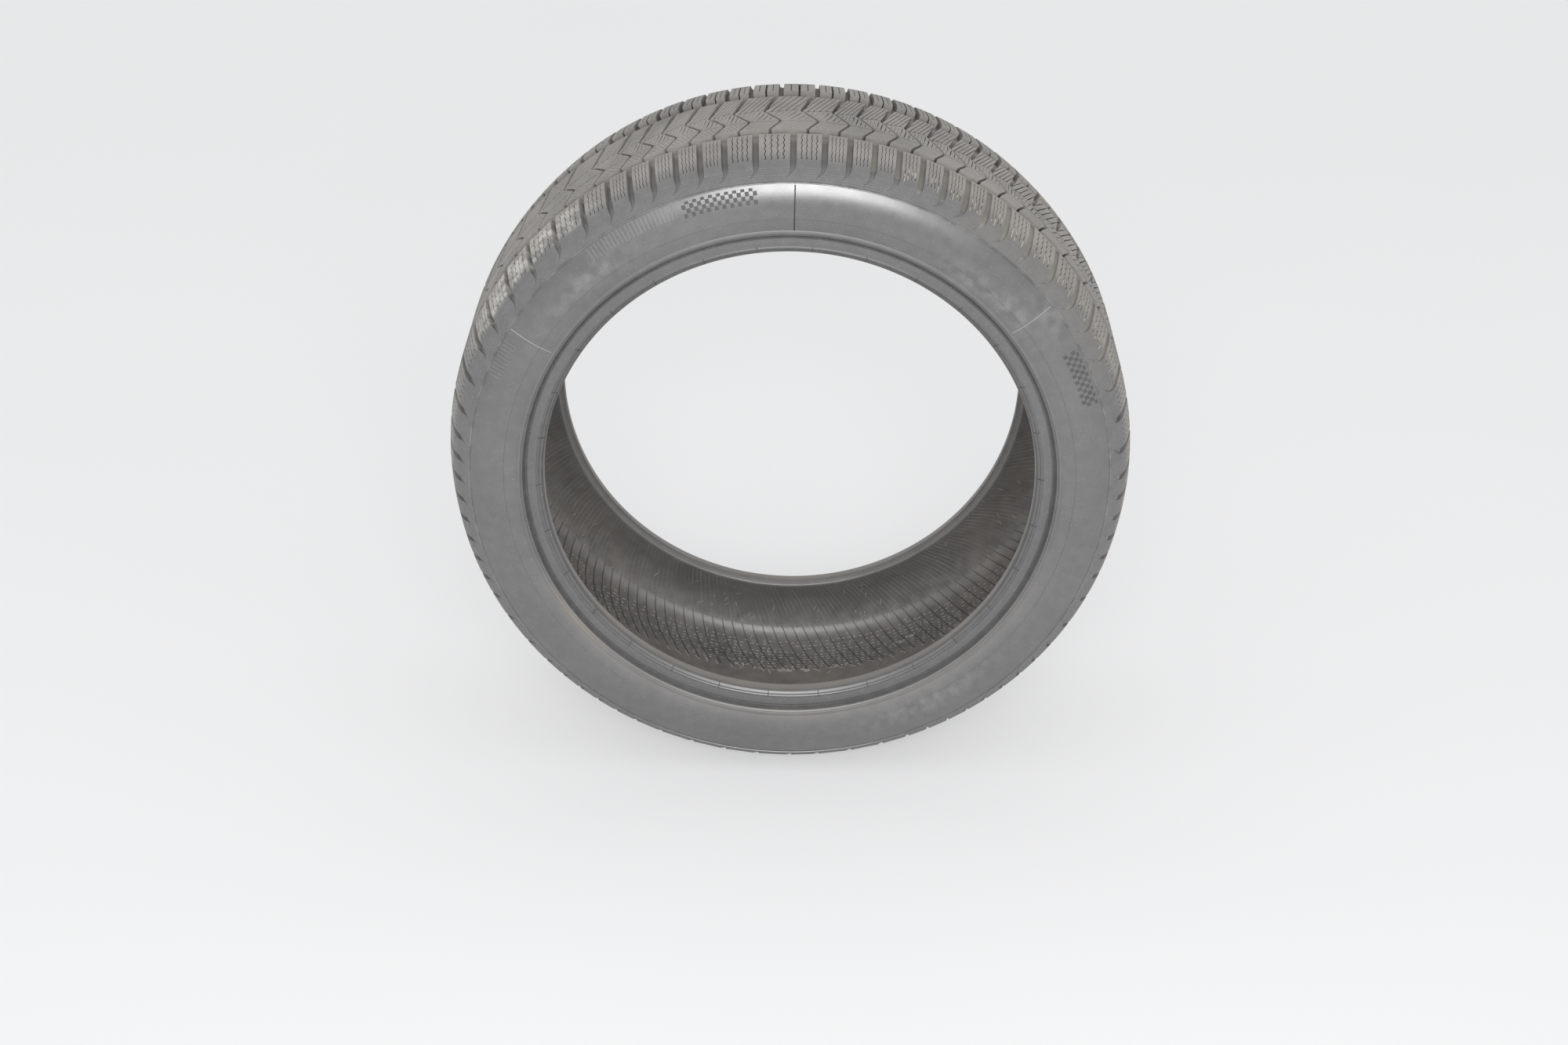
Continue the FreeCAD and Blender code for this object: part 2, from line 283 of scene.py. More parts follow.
@dataclass
class Shape:
    """Points, quads and the quads' places on the surface, gathered into one mesh."""

    points: List[Array] = field(default_factory=list)
    quads: List[Array] = field(default_factory=list)
    places: List[Array] = field(default_factory=list)
    count: int = 0

    def add(self, points: Array, quads: Array, places: Array) -> None:
        """Adds one surface.

        Args:
            points: Its points in metres, three columns.
            quads: Its quads, four columns, counted from its own first point.
            places: Distance round and across the surface at each quad's corners, in metres.
        """
        self.points.append(points.reshape(-1, 3))
        self.quads.append(quads + self.count)
        self.places.append(places.reshape(-1, 2))
        self.count += self.points[-1].shape[0]

    def add_lids(self, angle: Array, width: Array, radius: Array, round_at: Array, across: Array) -> None:
        """Adds many raised panels of one layout.

        Args:
            angle: Angle at each panel's points, one panel after another.
            width: Distance along the axle at them.
            radius: Distance from the axle at them.
            round_at: Distance round the surface at them.
            across: Distance across the surface at them.
        """
        count, high, wide = angle.shape
        used, quads = lid_faces(high - 2, wide - 2)
        faces = (quads[None] + np.arange(count)[:, None, None] * len(used)).reshape(-1, 4)
        points = in_space(angle, width, radius).reshape(count, -1, 3)[:, used]
        flat = np.stack(np.broadcast_arrays(round_at, across), axis=-1)
        flat = flat.reshape(count, -1, 2)[:, used].reshape(-1, 2)
        self.add(points, faces, flat[faces] * MILLIMETRE)

    def add_ring(self, run: Array) -> None:
        """Adds a section run carried round the axle.

        Args:
            run: The section's points: width along the axle and radius.
        """
        points = in_space(RING[None, :], run[:, :1], run[:, 1:])
        quads = ring_faces(len(run), RING_COLUMNS)
        row, column = np.divmod(np.arange(len(run) * RING_COLUMNS), RING_COLUMNS)
        turn = column[quads]
        closing = turn[:, 0] == RING_COLUMNS - 1
        turn[closing, 1:3] = RING_COLUMNS
        pitch = float(np.mean(run[:, 1])) * FULL_TURN / RING_COLUMNS
        places = np.stack([turn * pitch, length_along(run)[row[quads]]], axis=-1)
        self.add(points, quads, places * MILLIMETRE)

    def add_patches(self, run: Array, turns: Array, half: float, low: Amount, high: Amount, lean: Amount,
                    height: float, rows: int) -> None:
        """Adds small raised patches that lie on a section run carried round the axle.

        A patch goes from one distance along the run to another and stands off it along its
        normal. It leans by an angle on the way, and its walls reach a little below the run.

        Args:
            run: The section's points: width along the axle and radius.
            turns: The angle of each patch's start.
            half: Half a patch's width, as an angle.
            low: Distance along the run at each patch's start.
            high: Distance along the run at its end.
            lean: The angle between its start and its end.
            height: How far it stands off the run.
            rows: Points along it.
        """
        low, high, lean = (np.broadcast_to(value, turns.shape)[:, None, None] for value in (low, high, lean))
        part, across = np.meshgrid(np.linspace(0.0, 1.0, rows), np.array([-half, half]), indexing="ij")
        part, across = with_foot(part), with_foot(across)
        rise = np.full(part.shape, height)
        rise[[0, -1], :] = SUNK
        rise[:, [0, -1]] = SUNK
        stretch = low + (high - low) * part
        width, radius = raised(run, stretch, rise)
        angle = turns[:, None, None] + lean * part + across
        self.add_lids(angle, width, radius, angle * radius, stretch)

    def spots(self) -> Tuple[Array, Array, Array]:
        """All points so far: angle from the top in degrees, width and radius."""
        points = np.concatenate(self.points)
        angle = np.degrees(np.arctan2(points[:, 0], points[:, 2]))
        return angle, points[:, 1] / MILLIMETRE, np.hypot(points[:, 0], points[:, 2]) / MILLIMETRE

    def even(self, dust: float = 0.0, soil: float = 0.0, gloss: float = 0.0, wall: float = 0.0) -> Marks:
        """Marks that are the same at every point, by name."""
        ones = np.ones(self.count)
        return {"dust": dust * ones, "soil": soil * ones, "gloss": gloss * ones, "wall": wall * ones}

    def piece(self, name: str, material: bpy.types.Material, marks: Marks) -> bpy.types.Object:
        """Makes the mesh and binds it to the frame.

        Args:
            name: The piece's name.
            material: Its finish.
            marks: Values at each point, by name, that the finish reads.

        Returns:
            The finished piece.
        """
        points = np.concatenate(self.points)
        quads = np.concatenate(self.quads)
        mesh = bpy.data.meshes.new(name)
        mesh.vertices.add(len(points))
        mesh.vertices.foreach_set("co", points.astype(np.float32).ravel())
        mesh.loops.add(quads.size)
        mesh.loops.foreach_set("vertex_index", quads.astype(np.int32).ravel())
        mesh.polygons.add(len(quads))
        mesh.polygons.foreach_set("loop_start", np.arange(0, quads.size, 4, dtype=np.int32))
        mesh.update(calc_edges=True)
        mesh.polygons.foreach_set("use_smooth", np.ones(len(quads), dtype=bool))
        layer = mesh.uv_layers.new(name="Surface")
        layer.uv.foreach_set("vector", np.concatenate(self.places).astype(np.float32).ravel())
        for mark, values in marks.items():
            held = mesh.attributes.new(mark, "FLOAT", "POINT")
            held.data.foreach_set("value", values.astype(np.float32))
        mesh.set_sharp_from_angle(angle=CREASE)
        mesh.materials.append(material)
        mesh.validate()
        made = bpy.data.objects.new(name, mesh)
        bpy.context.scene.collection.objects.link(made)
        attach(made, BODY)
        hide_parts(NODE)
        log.info("%s: %d quads", name, len(quads))
        return made


# Finishes


class Bench:
    """Adds shader nodes to one material and joins them."""

    def __init__(self, name: str) -> None:
        """Starts an empty material.

        Args:
            name: The material's name.
        """
        self.material = bpy.data.materials.new(name)
        self.material.use_nodes = True
        self.tree = self.material.node_tree
        self.tree.nodes.clear()
        self.place = self.node("ShaderNodeTexCoord", {}).outputs["Object"]

    def node(self, kind: str, sockets: Dict[Union[int, str], object], **options: object) -> bpy.types.Node:
        """Adds a node.

        Args:
            kind: The node's type.
            sockets: Values or outputs for its inputs, by name or number.
            options: The node's own settings.

        Returns:
            The node.
        """
        made = self.tree.nodes.new(kind)
        for option, value in options.items():
            setattr(made, option, value)
        for socket, value in sockets.items():
            if isinstance(value, bpy.types.NodeSocket):
                self.tree.links.new(value, made.inputs[socket])
            else:
                made.inputs[socket].default_value = value
        return made

    def maths(self, what: str, *values: Value) -> bpy.types.NodeSocket:
        """One sum on numbers or outputs; gives its result."""
        return self.node("ShaderNodeMath", dict(enumerate(values)), operation=what).outputs[0]

    def noise(self, scale: float, detail: float) -> bpy.types.NodeSocket:
        """Adds smooth noise on the object's own coordinates.

        Args:
            scale: How fine it is.
            detail: How many finer layers it has.

        Returns:
            Its value.
        """
        sockets = {"Vector": self.place, "Scale": scale, "Detail": detail}
        return self.node("ShaderNodeTexNoise", sockets).outputs["Fac"]

    def ranged(self, value: bpy.types.NodeSocket, span: Point, to: Point) -> bpy.types.NodeSocket:
        """Carries a value from one range to another, held inside it; gives the result."""
        sockets = {"Value": value, "From Min": span[0], "From Max": span[1], "To Min": to[0], "To Max": to[1]}
        return self.node("ShaderNodeMapRange", sockets).outputs[0]

    def blend(self, share: bpy.types.NodeSocket, first: Union[Colour, bpy.types.NodeSocket],
              second: Colour) -> bpy.types.NodeSocket:
        """Mixes two colours.

        Args:
            share: How much of the second there is.
            first: The first colour.
            second: The second colour.

        Returns:
            The mixed colour.
        """
        start = first if isinstance(first, bpy.types.NodeSocket) else (*first, 1.0)
        sockets = {0: share, 6: start, 7: (*second, 1.0)}
        return self.node("ShaderNodeMix", sockets, data_type="RGBA").outputs[2]

    def mark(self, name: str) -> bpy.types.NodeSocket:
        """The value that the mesh holds under a name."""
        return self.node("ShaderNodeAttribute", {}, attribute_name=name).outputs["Fac"]


UNIT = (0.0, 1.0)

GREY = (0.073, 0.072, 0.075)
PALE_GREY = (0.093, 0.092, 0.095)
# Colours of painted shade, which a finish's wall mark blends in.
PAINTED_SHADE_GREY = (0.10, 0.10, 0.10)
PAINTED_SHADE_BLACK = (0.050, 0.049, 0.051)
DUST = (0.40, 0.388, 0.368)
RUBBED = (0.60, 0.585, 0.54)
EARTH = (0.27, 0.238, 0.198)
MUD = (0.54, 0.50, 0.41)


@dataclass(frozen=True)
class RubberFinish:
    """Worn black rubber that has greyed, or the dirt on it, with painted shade: colours, gloss and grain.

    The noise fields are a scale and a detail, and the range fields are the noise values
    between which the effect goes from none to full.
    """

    name: str
    colour: Colour
    pale: Colour
    rough: float
    gloss: float
    grain: float
    dust: Colour = DUST
    soil: Colour = EARTH
    # The colour of the painted shade that the wall mark blends in.
    wall: Colour = PAINTED_SHADE_GREY
    shine: float = 0.5
    index: float = 1.5
    spread: float = 0.05
    patch_scale: float = 14.0
    patch_detail: float = 5.0
    middle_noise: Point = (95.0, 4.0)
    fine_noise: Point = (900.0, 3.0)
    pale_range: Point = (0.36, 0.66)
    speck_range: Point = (0.62, 0.74)
    speck_share: float = 0.35
    dust_range: Point = (0.38, 0.62)
    soil_range: Point = (0.3, 0.6)
    soil_least: float = 0.35
    rough_range: Point = (0.3, 0.7)
    fine_height: float = 0.3
    middle_height: float = 0.7
    bump_distance: float = 0.0006

    def material(self) -> bpy.types.Material:
        """Builds the finish as a node material.

        Broad noise blends the clean and the pale rubber, the wall mark paints shade in the wall colour,
        the dust and soil marks are broken up by noise, and the gloss mark lowers the roughness.

        Returns:
            The material.
        """
        bench = Bench(self.name)
        broad = bench.noise(self.patch_scale, self.patch_detail)
        middle = bench.noise(*self.middle_noise)
        fine = bench.noise(*self.fine_noise)
        colour = bench.blend(bench.ranged(broad, self.pale_range, UNIT), self.colour, self.pale)
        # The wall mark is painted shade: it darkens the rubber where shade falls.
        colour = bench.blend(bench.mark("wall"), colour, self.wall)
        colour = bench.blend(bench.ranged(fine, self.speck_range, (0.0, self.speck_share)), colour, self.dust)
        dusty = bench.maths("MULTIPLY", bench.mark("dust"), bench.ranged(middle, self.dust_range, UNIT))
        colour = bench.blend(dusty, colour, self.dust)
        broken = bench.ranged(broad, self.soil_range, (self.soil_least, 1.0))
        colour = bench.blend(bench.maths("MULTIPLY", bench.mark("soil"), broken), colour, self.soil)
        rough = bench.ranged(bench.mark("gloss"), UNIT, (self.rough, self.gloss))
        uneven = bench.ranged(middle, self.rough_range, (-self.spread, self.spread))
        height = bench.maths("ADD", bench.maths("MULTIPLY", fine, self.fine_height),
                             bench.maths("MULTIPLY", middle, self.middle_height))
        bump = bench.node("ShaderNodeBump", {
            "Strength": self.grain, "Distance": self.bump_distance, "Height": height})
        rubber = bench.node("ShaderNodeBsdfPrincipled", {
            "Base Color": colour, "Roughness": bench.maths("ADD", rough, uneven), "IOR": self.index,
            "Normal": bump.outputs[0], "Specular IOR Level": self.shine})
        bench.node("ShaderNodeOutputMaterial", {0: rubber.outputs[0]})
        return bench.material


# The tread's wall colour is the painted shade on its lower shoulder, which turns away from the light above.
TREAD_RUBBER = RubberFinish(
    "tread_rubber", (0.225, 0.216, 0.204), (0.315, 0.302, 0.284), rough=0.62, gloss=0.45, grain=0.55,
    dust=RUBBED, wall=(0.140, 0.140, 0.144))
# The groove floor's wall colour is the same painted shade on the lower shoulder.
GROOVE_RUBBER = RubberFinish(
    "groove_rubber", (0.195, 0.188, 0.178), (0.245, 0.236, 0.224), rough=0.75, gloss=0.6, grain=0.5,
    wall=(0.135, 0.134, 0.136))
# The sidewall's wall colour is the painted shade on the bead foot.
SIDEWALL_RUBBER = RubberFinish(
    "sidewall_rubber", GREY, PALE_GREY, rough=0.47, gloss=0.29, grain=0.09, wall=PAINTED_SHADE_BLACK, shine=1.0,
    index=1.62, spread=0.02, patch_scale=7.0)
# A near-black strip laid in the flange groove: painted shade.
BEAD_GROOVE_SHADE = RubberFinish(
    "bead_groove", (0.058, 0.057, 0.059), (0.074, 0.073, 0.075), rough=0.5, gloss=0.45, grain=0.09,
    spread=0.02, patch_scale=7.0)
PAD_RUBBER = RubberFinish(
    "pad_rubber", (0.066, 0.065, 0.067), (0.080, 0.079, 0.081), rough=0.66, gloss=0.55, grain=0.3)
SEAM_RUBBER = RubberFinish(
    "seam_rubber", (0.030, 0.030, 0.031), (0.045, 0.045, 0.046), rough=0.8, gloss=0.7, grain=0.2, shine=0.2)
LINE_RUBBER = RubberFinish(
    "line_rubber", (0.230, 0.228, 0.230), (0.300, 0.298, 0.298), rough=0.7, gloss=0.6, grain=0.2)
HATCH_RUBBER = RubberFinish(
    "hatch_rubber", (0.125, 0.125, 0.128), (0.150, 0.150, 0.152), rough=0.45, gloss=0.34, grain=0.14,
    shine=1.0)
LINER_RUBBER = RubberFinish(
    "liner_rubber", (0.118, 0.115, 0.112), (0.148, 0.144, 0.140), rough=0.55, gloss=0.40, grain=0.4,
    shine=0.9, patch_scale=22.0)
# Ribs paler than the liner: a painted highlight; the wall colour is painted shade on the liner's floor.
RIB_HIGHLIGHT_AND_SHADE = RubberFinish(
    "rib_highlight_and_shade", (0.165, 0.160, 0.152), (0.270, 0.262, 0.246), rough=0.75, gloss=0.6, grain=0.4,
    wall=PAINTED_SHADE_BLACK, shine=0.3, patch_scale=30.0)
SLOT_EARTH = RubberFinish(
    "slot_earth", (0.180, 0.170, 0.154), (0.250, 0.236, 0.212), rough=0.85, gloss=0.8, grain=0.7)
DRIED_MUD = RubberFinish(
    "dried_mud", (0.40, 0.37, 0.30), MUD, rough=0.85, gloss=0.8, grain=0.8)
PALE_DUST = RubberFinish(
    "pale_dust", (0.40, 0.385, 0.35), (0.62, 0.60, 0.55), rough=0.85, gloss=0.8, grain=0.6)


# The tyre's section and its blocks


@dataclass(frozen=True)
class Section:
    """The tyre's half section: distances from the middle plane and radii.

    The fields go from the tread's surface to its groove floors, the fine ridges of the lower
    shoulder, the sidewall with its band and bead, and the liner.
    """

    crown_radius: float = 322.5
    crown_front: float = 55.5
    crown_back: float = 45.5
    tread_edge: Point = (93.0, 315.8)
    shoulder: Tuple[Point, ...] = ((104.1, 311.3), (112.5, 305.0), (119.0, 298.5))
    floor_radius: float = 316.0
    slot_floor: Tuple[Point, ...] = ((93.0, 309.8), (101.0, 309.2), (107.0, 307.5), (112.0, 304.4))
    slot_end: float = 116.0
    end_depth: float = 0.7
    ridge_start: float = 108.6
    ridge_pitch: float = 1.73
    ridge_relief: float = 0.4
    skirt_points: int = 17
    edge_ridge: Tuple[Point, ...] = ((119.0, 298.5), (119.9, 298.4), (120.5, 297.6), (119.7, 296.9))
    edge_round: float = 0.4
    edge_steps: int = 3
    bulge: Tuple[Point, ...] = ((119.0, 298.5), (123.8, 283.5), (124.9, 268.5), (122.3, 253.5))
    wall_reach: Point = (296.0, 254.0)
    wall_points: int = 34
    band_top: float = 265.5
    band_depth: float = 0.4
    band_blur: float = 0.2
    band_points: Tuple[float, ...] = (0.35, 0.12, -0.12, -0.35)
    bead: Tuple[Point, ...] = (
        (122.3, 253.5), (122.3, 250.6), (121.2, 250.0), (120.6, 248.6), (119.4, 248.2), (115.8, 245.8),
        (116.1, 240.0), (115.9, 236.2), (116.7, 235.3), (115.7, 233.9), (115.0, 233.6), (113.5, 231.2),
        (110.5, 229.3), (106.0, 229.1), (105.6, 229.5), (104.8, 229.4), (103.4, 229.1), (101.6, 231.0))
    bead_round: float = 0.5
    bead_steps: int = 4
    bead_spacing: float = 2.0
    liner: Tuple[Point, ...] = (
        (101.6, 231.0), (98.0, 235.0), (111.5, 265.25), (104.0, 295.5), (84.0, 308.0), (0.0, 308.0))
    liner_round: float = 40.0
    liner_steps: int = 9
    liner_spacing: float = 5.0

    def surface(self, width: Array) -> Array:
        """The tread's running surface and shoulders: a smooth curve through their points.

        Args:
            width: Distances along the axle.

        Returns:
            The radius at each of them.
        """
        back = np.array([(self.crown_back, self.crown_radius), self.tread_edge, *self.shoulder])
        front = np.array([(self.crown_front, self.crown_radius), self.tread_edge, *self.shoulder])
        knots = np.concatenate([-front[::-1, 0], back[:, 0]])
        return monotone_curve(width, knots, np.concatenate([front[::-1, 1], back[:, 1]]))

    def ridges(self, width: Array) -> Array:
        """How far the fine ridges of the lower shoulder lie below its surface.

        Formula: a row of half sine waves from the ridges' start outwards, and nought before it.

        Args:
            width: Distances along the axle.

        Returns:
            The depth at each of them.
        """
        part = np.maximum(np.abs(width) - self.ridge_start, 0.0) / self.ridge_pitch
        return self.ridge_relief * np.abs(np.sin(math.pi * part))

    def floor(self, width: Array) -> Array:
        """The groove floors: straight pieces that come up towards the slots' ends.

        Args:
            width: Distances along the axle.

        Returns:
            The radius at each of them.
        """
        last = float(self.surface(np.array(self.slot_end))) - self.end_depth
        outer = np.array([*self.slot_floor, (self.slot_end, last)])
        knots = np.concatenate([-outer[::-1, 0], [-self.crown_front, self.crown_back], outer[:, 0]])
        radii = np.concatenate([outer[::-1, 1], [self.floor_radius, self.floor_radius], outer[:, 1]])
        return np.interp(width, knots, radii)

    def skirt_run(self) -> Array:
        """Half section of the plain strip under the slots, with its fine ridges.

        It starts with a small wall at the slots' ends and runs to the edge of the shoulder.
        """
        width = np.linspace(self.slot_end, self.edge_ridge[0][0], self.skirt_points)
        run = np.stack([width, self.surface(width) - self.ridges(width)], axis=1)
        foot = run[:1] - np.array([[0.0, 2.0 * self.end_depth]])
        return np.concatenate([foot, run])

    def side_width(self, radius: Array) -> Array:
        """Half width of the sidewall at a radius.

        Formula: the cubic curve through the bulge's four points, less the depth of the band
        below the band's top.

        Args:
            radius: Distances from the axle.

        Returns:
            The half width at each of them.
        """
        bulge = np.array(self.bulge)
        middle = float(np.mean(bulge[:, 1]))
        width = np.polyval(np.polyfit(bulge[:, 1] - middle, bulge[:, 0], 3), radius - middle)
        return width - self.band_depth * soft_fall(
            radius, self.band_top - self.band_blur, self.band_top + self.band_blur)

    def side_run(self) -> Array:
        """Half section from the edge of the shoulder down to the toe of the bead, as a run.

        Below a small ridge at the edge, the wall is the bulge, and it steps back a little at
        the top of the band above the bead.
        """
        ridge = rounded_run(self.edge_ridge, self.edge_round, self.edge_steps)
        even = np.linspace(*self.wall_reach, self.wall_points)
        radius = np.sort(np.concatenate([even, self.band_top + np.array(self.band_points)]))[::-1]
        wall = np.stack([self.side_width(radius), radius], axis=1)
        bead = divided_run(rounded_run(self.bead, self.bead_round, self.bead_steps), self.bead_spacing)
        return np.concatenate([ridge, wall, bead])

    def liner_run(self) -> Array:
        """The whole section of the inside, from the back bead's toe to the front one's."""
        half = divided_run(rounded_run(self.liner, self.liner_round, self.liner_steps), self.liner_spacing)
        return np.concatenate([half, (half[:-1] * np.array([-1.0, 1.0]))[::-1]])


@dataclass(frozen=True)
class Blocks:
    """Where the tread's blocks lie round the tyre: long, middle and short ones in a run."""

    units: Tuple[Tuple[str, int], ...] = (("L", 6), ("M", 5), ("S", 4))
    run: str = "MSSSSSSSSMLLMLLLLMSSSSSML"
    runs: int = 3

    def steps(self) -> Array:
        """The angle that each block and the slot before it take, in radians."""
        sizes = dict(self.units)
        units = np.array([sizes[kind] for kind in self.run * self.runs], dtype=float)
        return units * FULL_TURN / units.sum()

    def starts(self) -> Array:
        """The angle at which each block's slot lies, in radians."""
        steps = self.steps()
        return np.cumsum(steps) - steps


BLOCK_LENGTH = 24.0
FAR_OUT = 9.0
THIN_TIP = 0.025
SIPE_SAMPLES = 81
SIPE_LEAST = 4
HALF_WAVES = 9.0
BEND = 1e-6
CLOSE = 1e-9


@dataclass(frozen=True)
class Row:
    """One row of blocks: its place across the tread, the slots between its blocks and its sipes.

    A place in a block is its share of the way from one slot to the next, and its share of the
    way from the row's lower edge to its upper one.
    """

    name: str
    low: float
    high: float
    slot_places: Tuple[float, ...]
    slot_middles: Tuple[float, ...]
    slot_widths: Tuple[float, ...]
    sipes: int
    lean: float
    sipe_width: float = 0.75
    low_saw: float = 0.0
    high_saw: float = 0.0
    rim: Point = (0.0, 0.0)
    side_rim: float = 0.0
    wave: float = 0.0
    span: Point = (0.0, 1.0)
    rim_rows: int = 2
    sipe_rows: int = 2

    def width_at(self, share: Array, along: Array) -> Array:
        """Distance along the axle at a place in the block."""
        low = self.low + self.low_saw * share
        high = self.high + self.high_saw * share
        return low + (high - low) * along

    def panels(self) -> List[Tuple[Array, Array]]:
        """The raised panels that make up one block: its strips between sipes and its rims.

        Returns:
            For each panel, the share across and the share along at each of its points.
        """
        first, last = self.span
        low, high = self.rim
        left, right = first + self.side_rim, last - self.side_rim
        along = np.linspace(low, 1.0 - high, self.sipe_rows)
        made = []
        if low > 0.0:
            made.append(np.meshgrid([first, last], np.linspace(0.0, low, self.rim_rows)))
        if high > 0.0:
            made.append(np.meshgrid([first, last], np.linspace(1.0 - high, 1.0, self.rim_rows)))
        if self.side_rim > 0.0:
            made.append(np.meshgrid([first, left], along))
            made.append(np.meshgrid([right, last], along))
        gap = 0.5 * self.sipe_width / BLOCK_LENGTH
        reach = (right - left) + abs(self.lean)
        middles = left - 0.5 * abs(self.lean) + reach * np.arange(1, self.sipes + 1) / (self.sipes + 1)
        edges = np.concatenate([[-FAR_OUT], middles, [FAR_OUT]])
        for before, after in zip(edges[:-1] + gap, edges[1:] - gap):
            made.extend(self.strip(before, after, left, right, along))
        return made

    def strip(self, before: float, after: float, left: float, right: float,
              along: Array) -> List[Tuple[Array, Array]]:
        """The strip between two sipes, cut off at the block's sides.

        Each sipe is a line that leans, with a small wave; a strip keeps the stretch where it
        is wider than a thin tip.

        Args:
            before: Edge of the sipe on the left, as a share across.
            after: Edge of the sipe on the right.
            left: The block's left side.
            right: The block's right side.
            along: Shares along at which the strip has points.

        Returns:
            The strip as a list of one panel, or an empty list where nothing is left of it.
        """
        part = (along - along[0]) / (along[-1] - along[0])
        fine = np.linspace(0.0, 1.0, SIPE_SAMPLES)
        reach_left = np.clip(before + self.lean * (fine - 0.5), left, right)
        reach_right = np.clip(after + self.lean * (fine - 0.5), left, right)
        wide = np.flatnonzero(reach_right - reach_left > THIN_TIP)
        if len(wide) < SIPE_LEAST:
            return []
        ends = fine[wide[[0, -1]]]
        bends = np.abs(np.diff(reach_left, 2)) + np.abs(np.diff(reach_right, 2)) > BEND
        kept = np.unique(np.concatenate([part, fine[1:-1][bends], ends]))
        kept = kept[(kept >= ends[0] - CLOSE) & (kept <= ends[1] + CLOSE)]
        wave = self.wave * np.sin(kept * HALF_WAVES * math.pi)
        sides = [np.clip(side + self.lean * (kept - 0.5) + wave, left, right) for side in (before, after)]
        lengthwise = along[0] + (along[-1] - along[0]) * kept
        return [(np.stack(sides, axis=1), np.repeat(lengthwise[:, None], 2, axis=1))]


# The tyre's parts


@dataclass(frozen=True)
class TreadWearAndShade:
    """Where dust and earth lie on the tread and where shade is painted on its lower shoulder, in
    millimetres across and degrees round.

    A pair is where a mark starts and where it is full, or where it starts to end and is gone.
    """

    front: Point = (56.0, 72.0)
    low: Point = (84.0, 108.0)
    rub_start: Point = (-70.0, -58.0)
    rub_end: Point = (-44.0, -30.0)
    rub_foot: Point = (99.0, 103.0)
    rub_dust: float = 0.75
    soil_start: Point = (18.0, 34.0)
    soil_end: Point = (58.0, 78.0)
    soil_share: float = 0.18
    fill_start: Point = (10.0, 26.0)
    fill_end: Point = (130.0, 160.0)
    even_dust: float = 0.10
    low_dust: float = 0.6
    even_soil: float = 0.08
    low_soil: float = 0.7
    # Painted shade on the lower shoulder, which turns away from the light above.
    low_painted_shade: float = 0.95

    def marks(self, shape: Shape, filled: float = 0.0) -> Marks:
        """Pale rubs on the front left shoulder, earth on the right, and painted shade on the lower shoulder.

        Args:
            shape: The points that get the marks.
            filled: How much more dust lies on the right of the front shoulder.

        Returns:
            The marks by name.
        """
        angle, width, _ = shape.spots()
        front = soft_step(-width, *self.front)
        low = soft_step(np.abs(width), *self.low)
        rubbed = soft_step(angle, *self.rub_start) * soft_fall(angle, *self.rub_end)
        rubbed = rubbed * front * soft_fall(np.abs(width), *self.rub_foot)
        right = soft_step(angle, *self.soil_start) * soft_fall(angle, *self.soil_end)
        worn = filled * front * soft_step(angle, *self.fill_start) * soft_fall(angle, *self.fill_end)
        # The wall mark here is painted shade that darkens the lower shoulder.
        return {"dust": self.even_dust * (1.0 - self.low_dust * low) + self.rub_dust * rubbed + worn,
                "soil": self.even_soil * (1.0 - self.low_soil * low) + self.soil_share * front * right,
                "gloss": np.zeros(len(angle)), "wall": self.low_painted_shade * low}


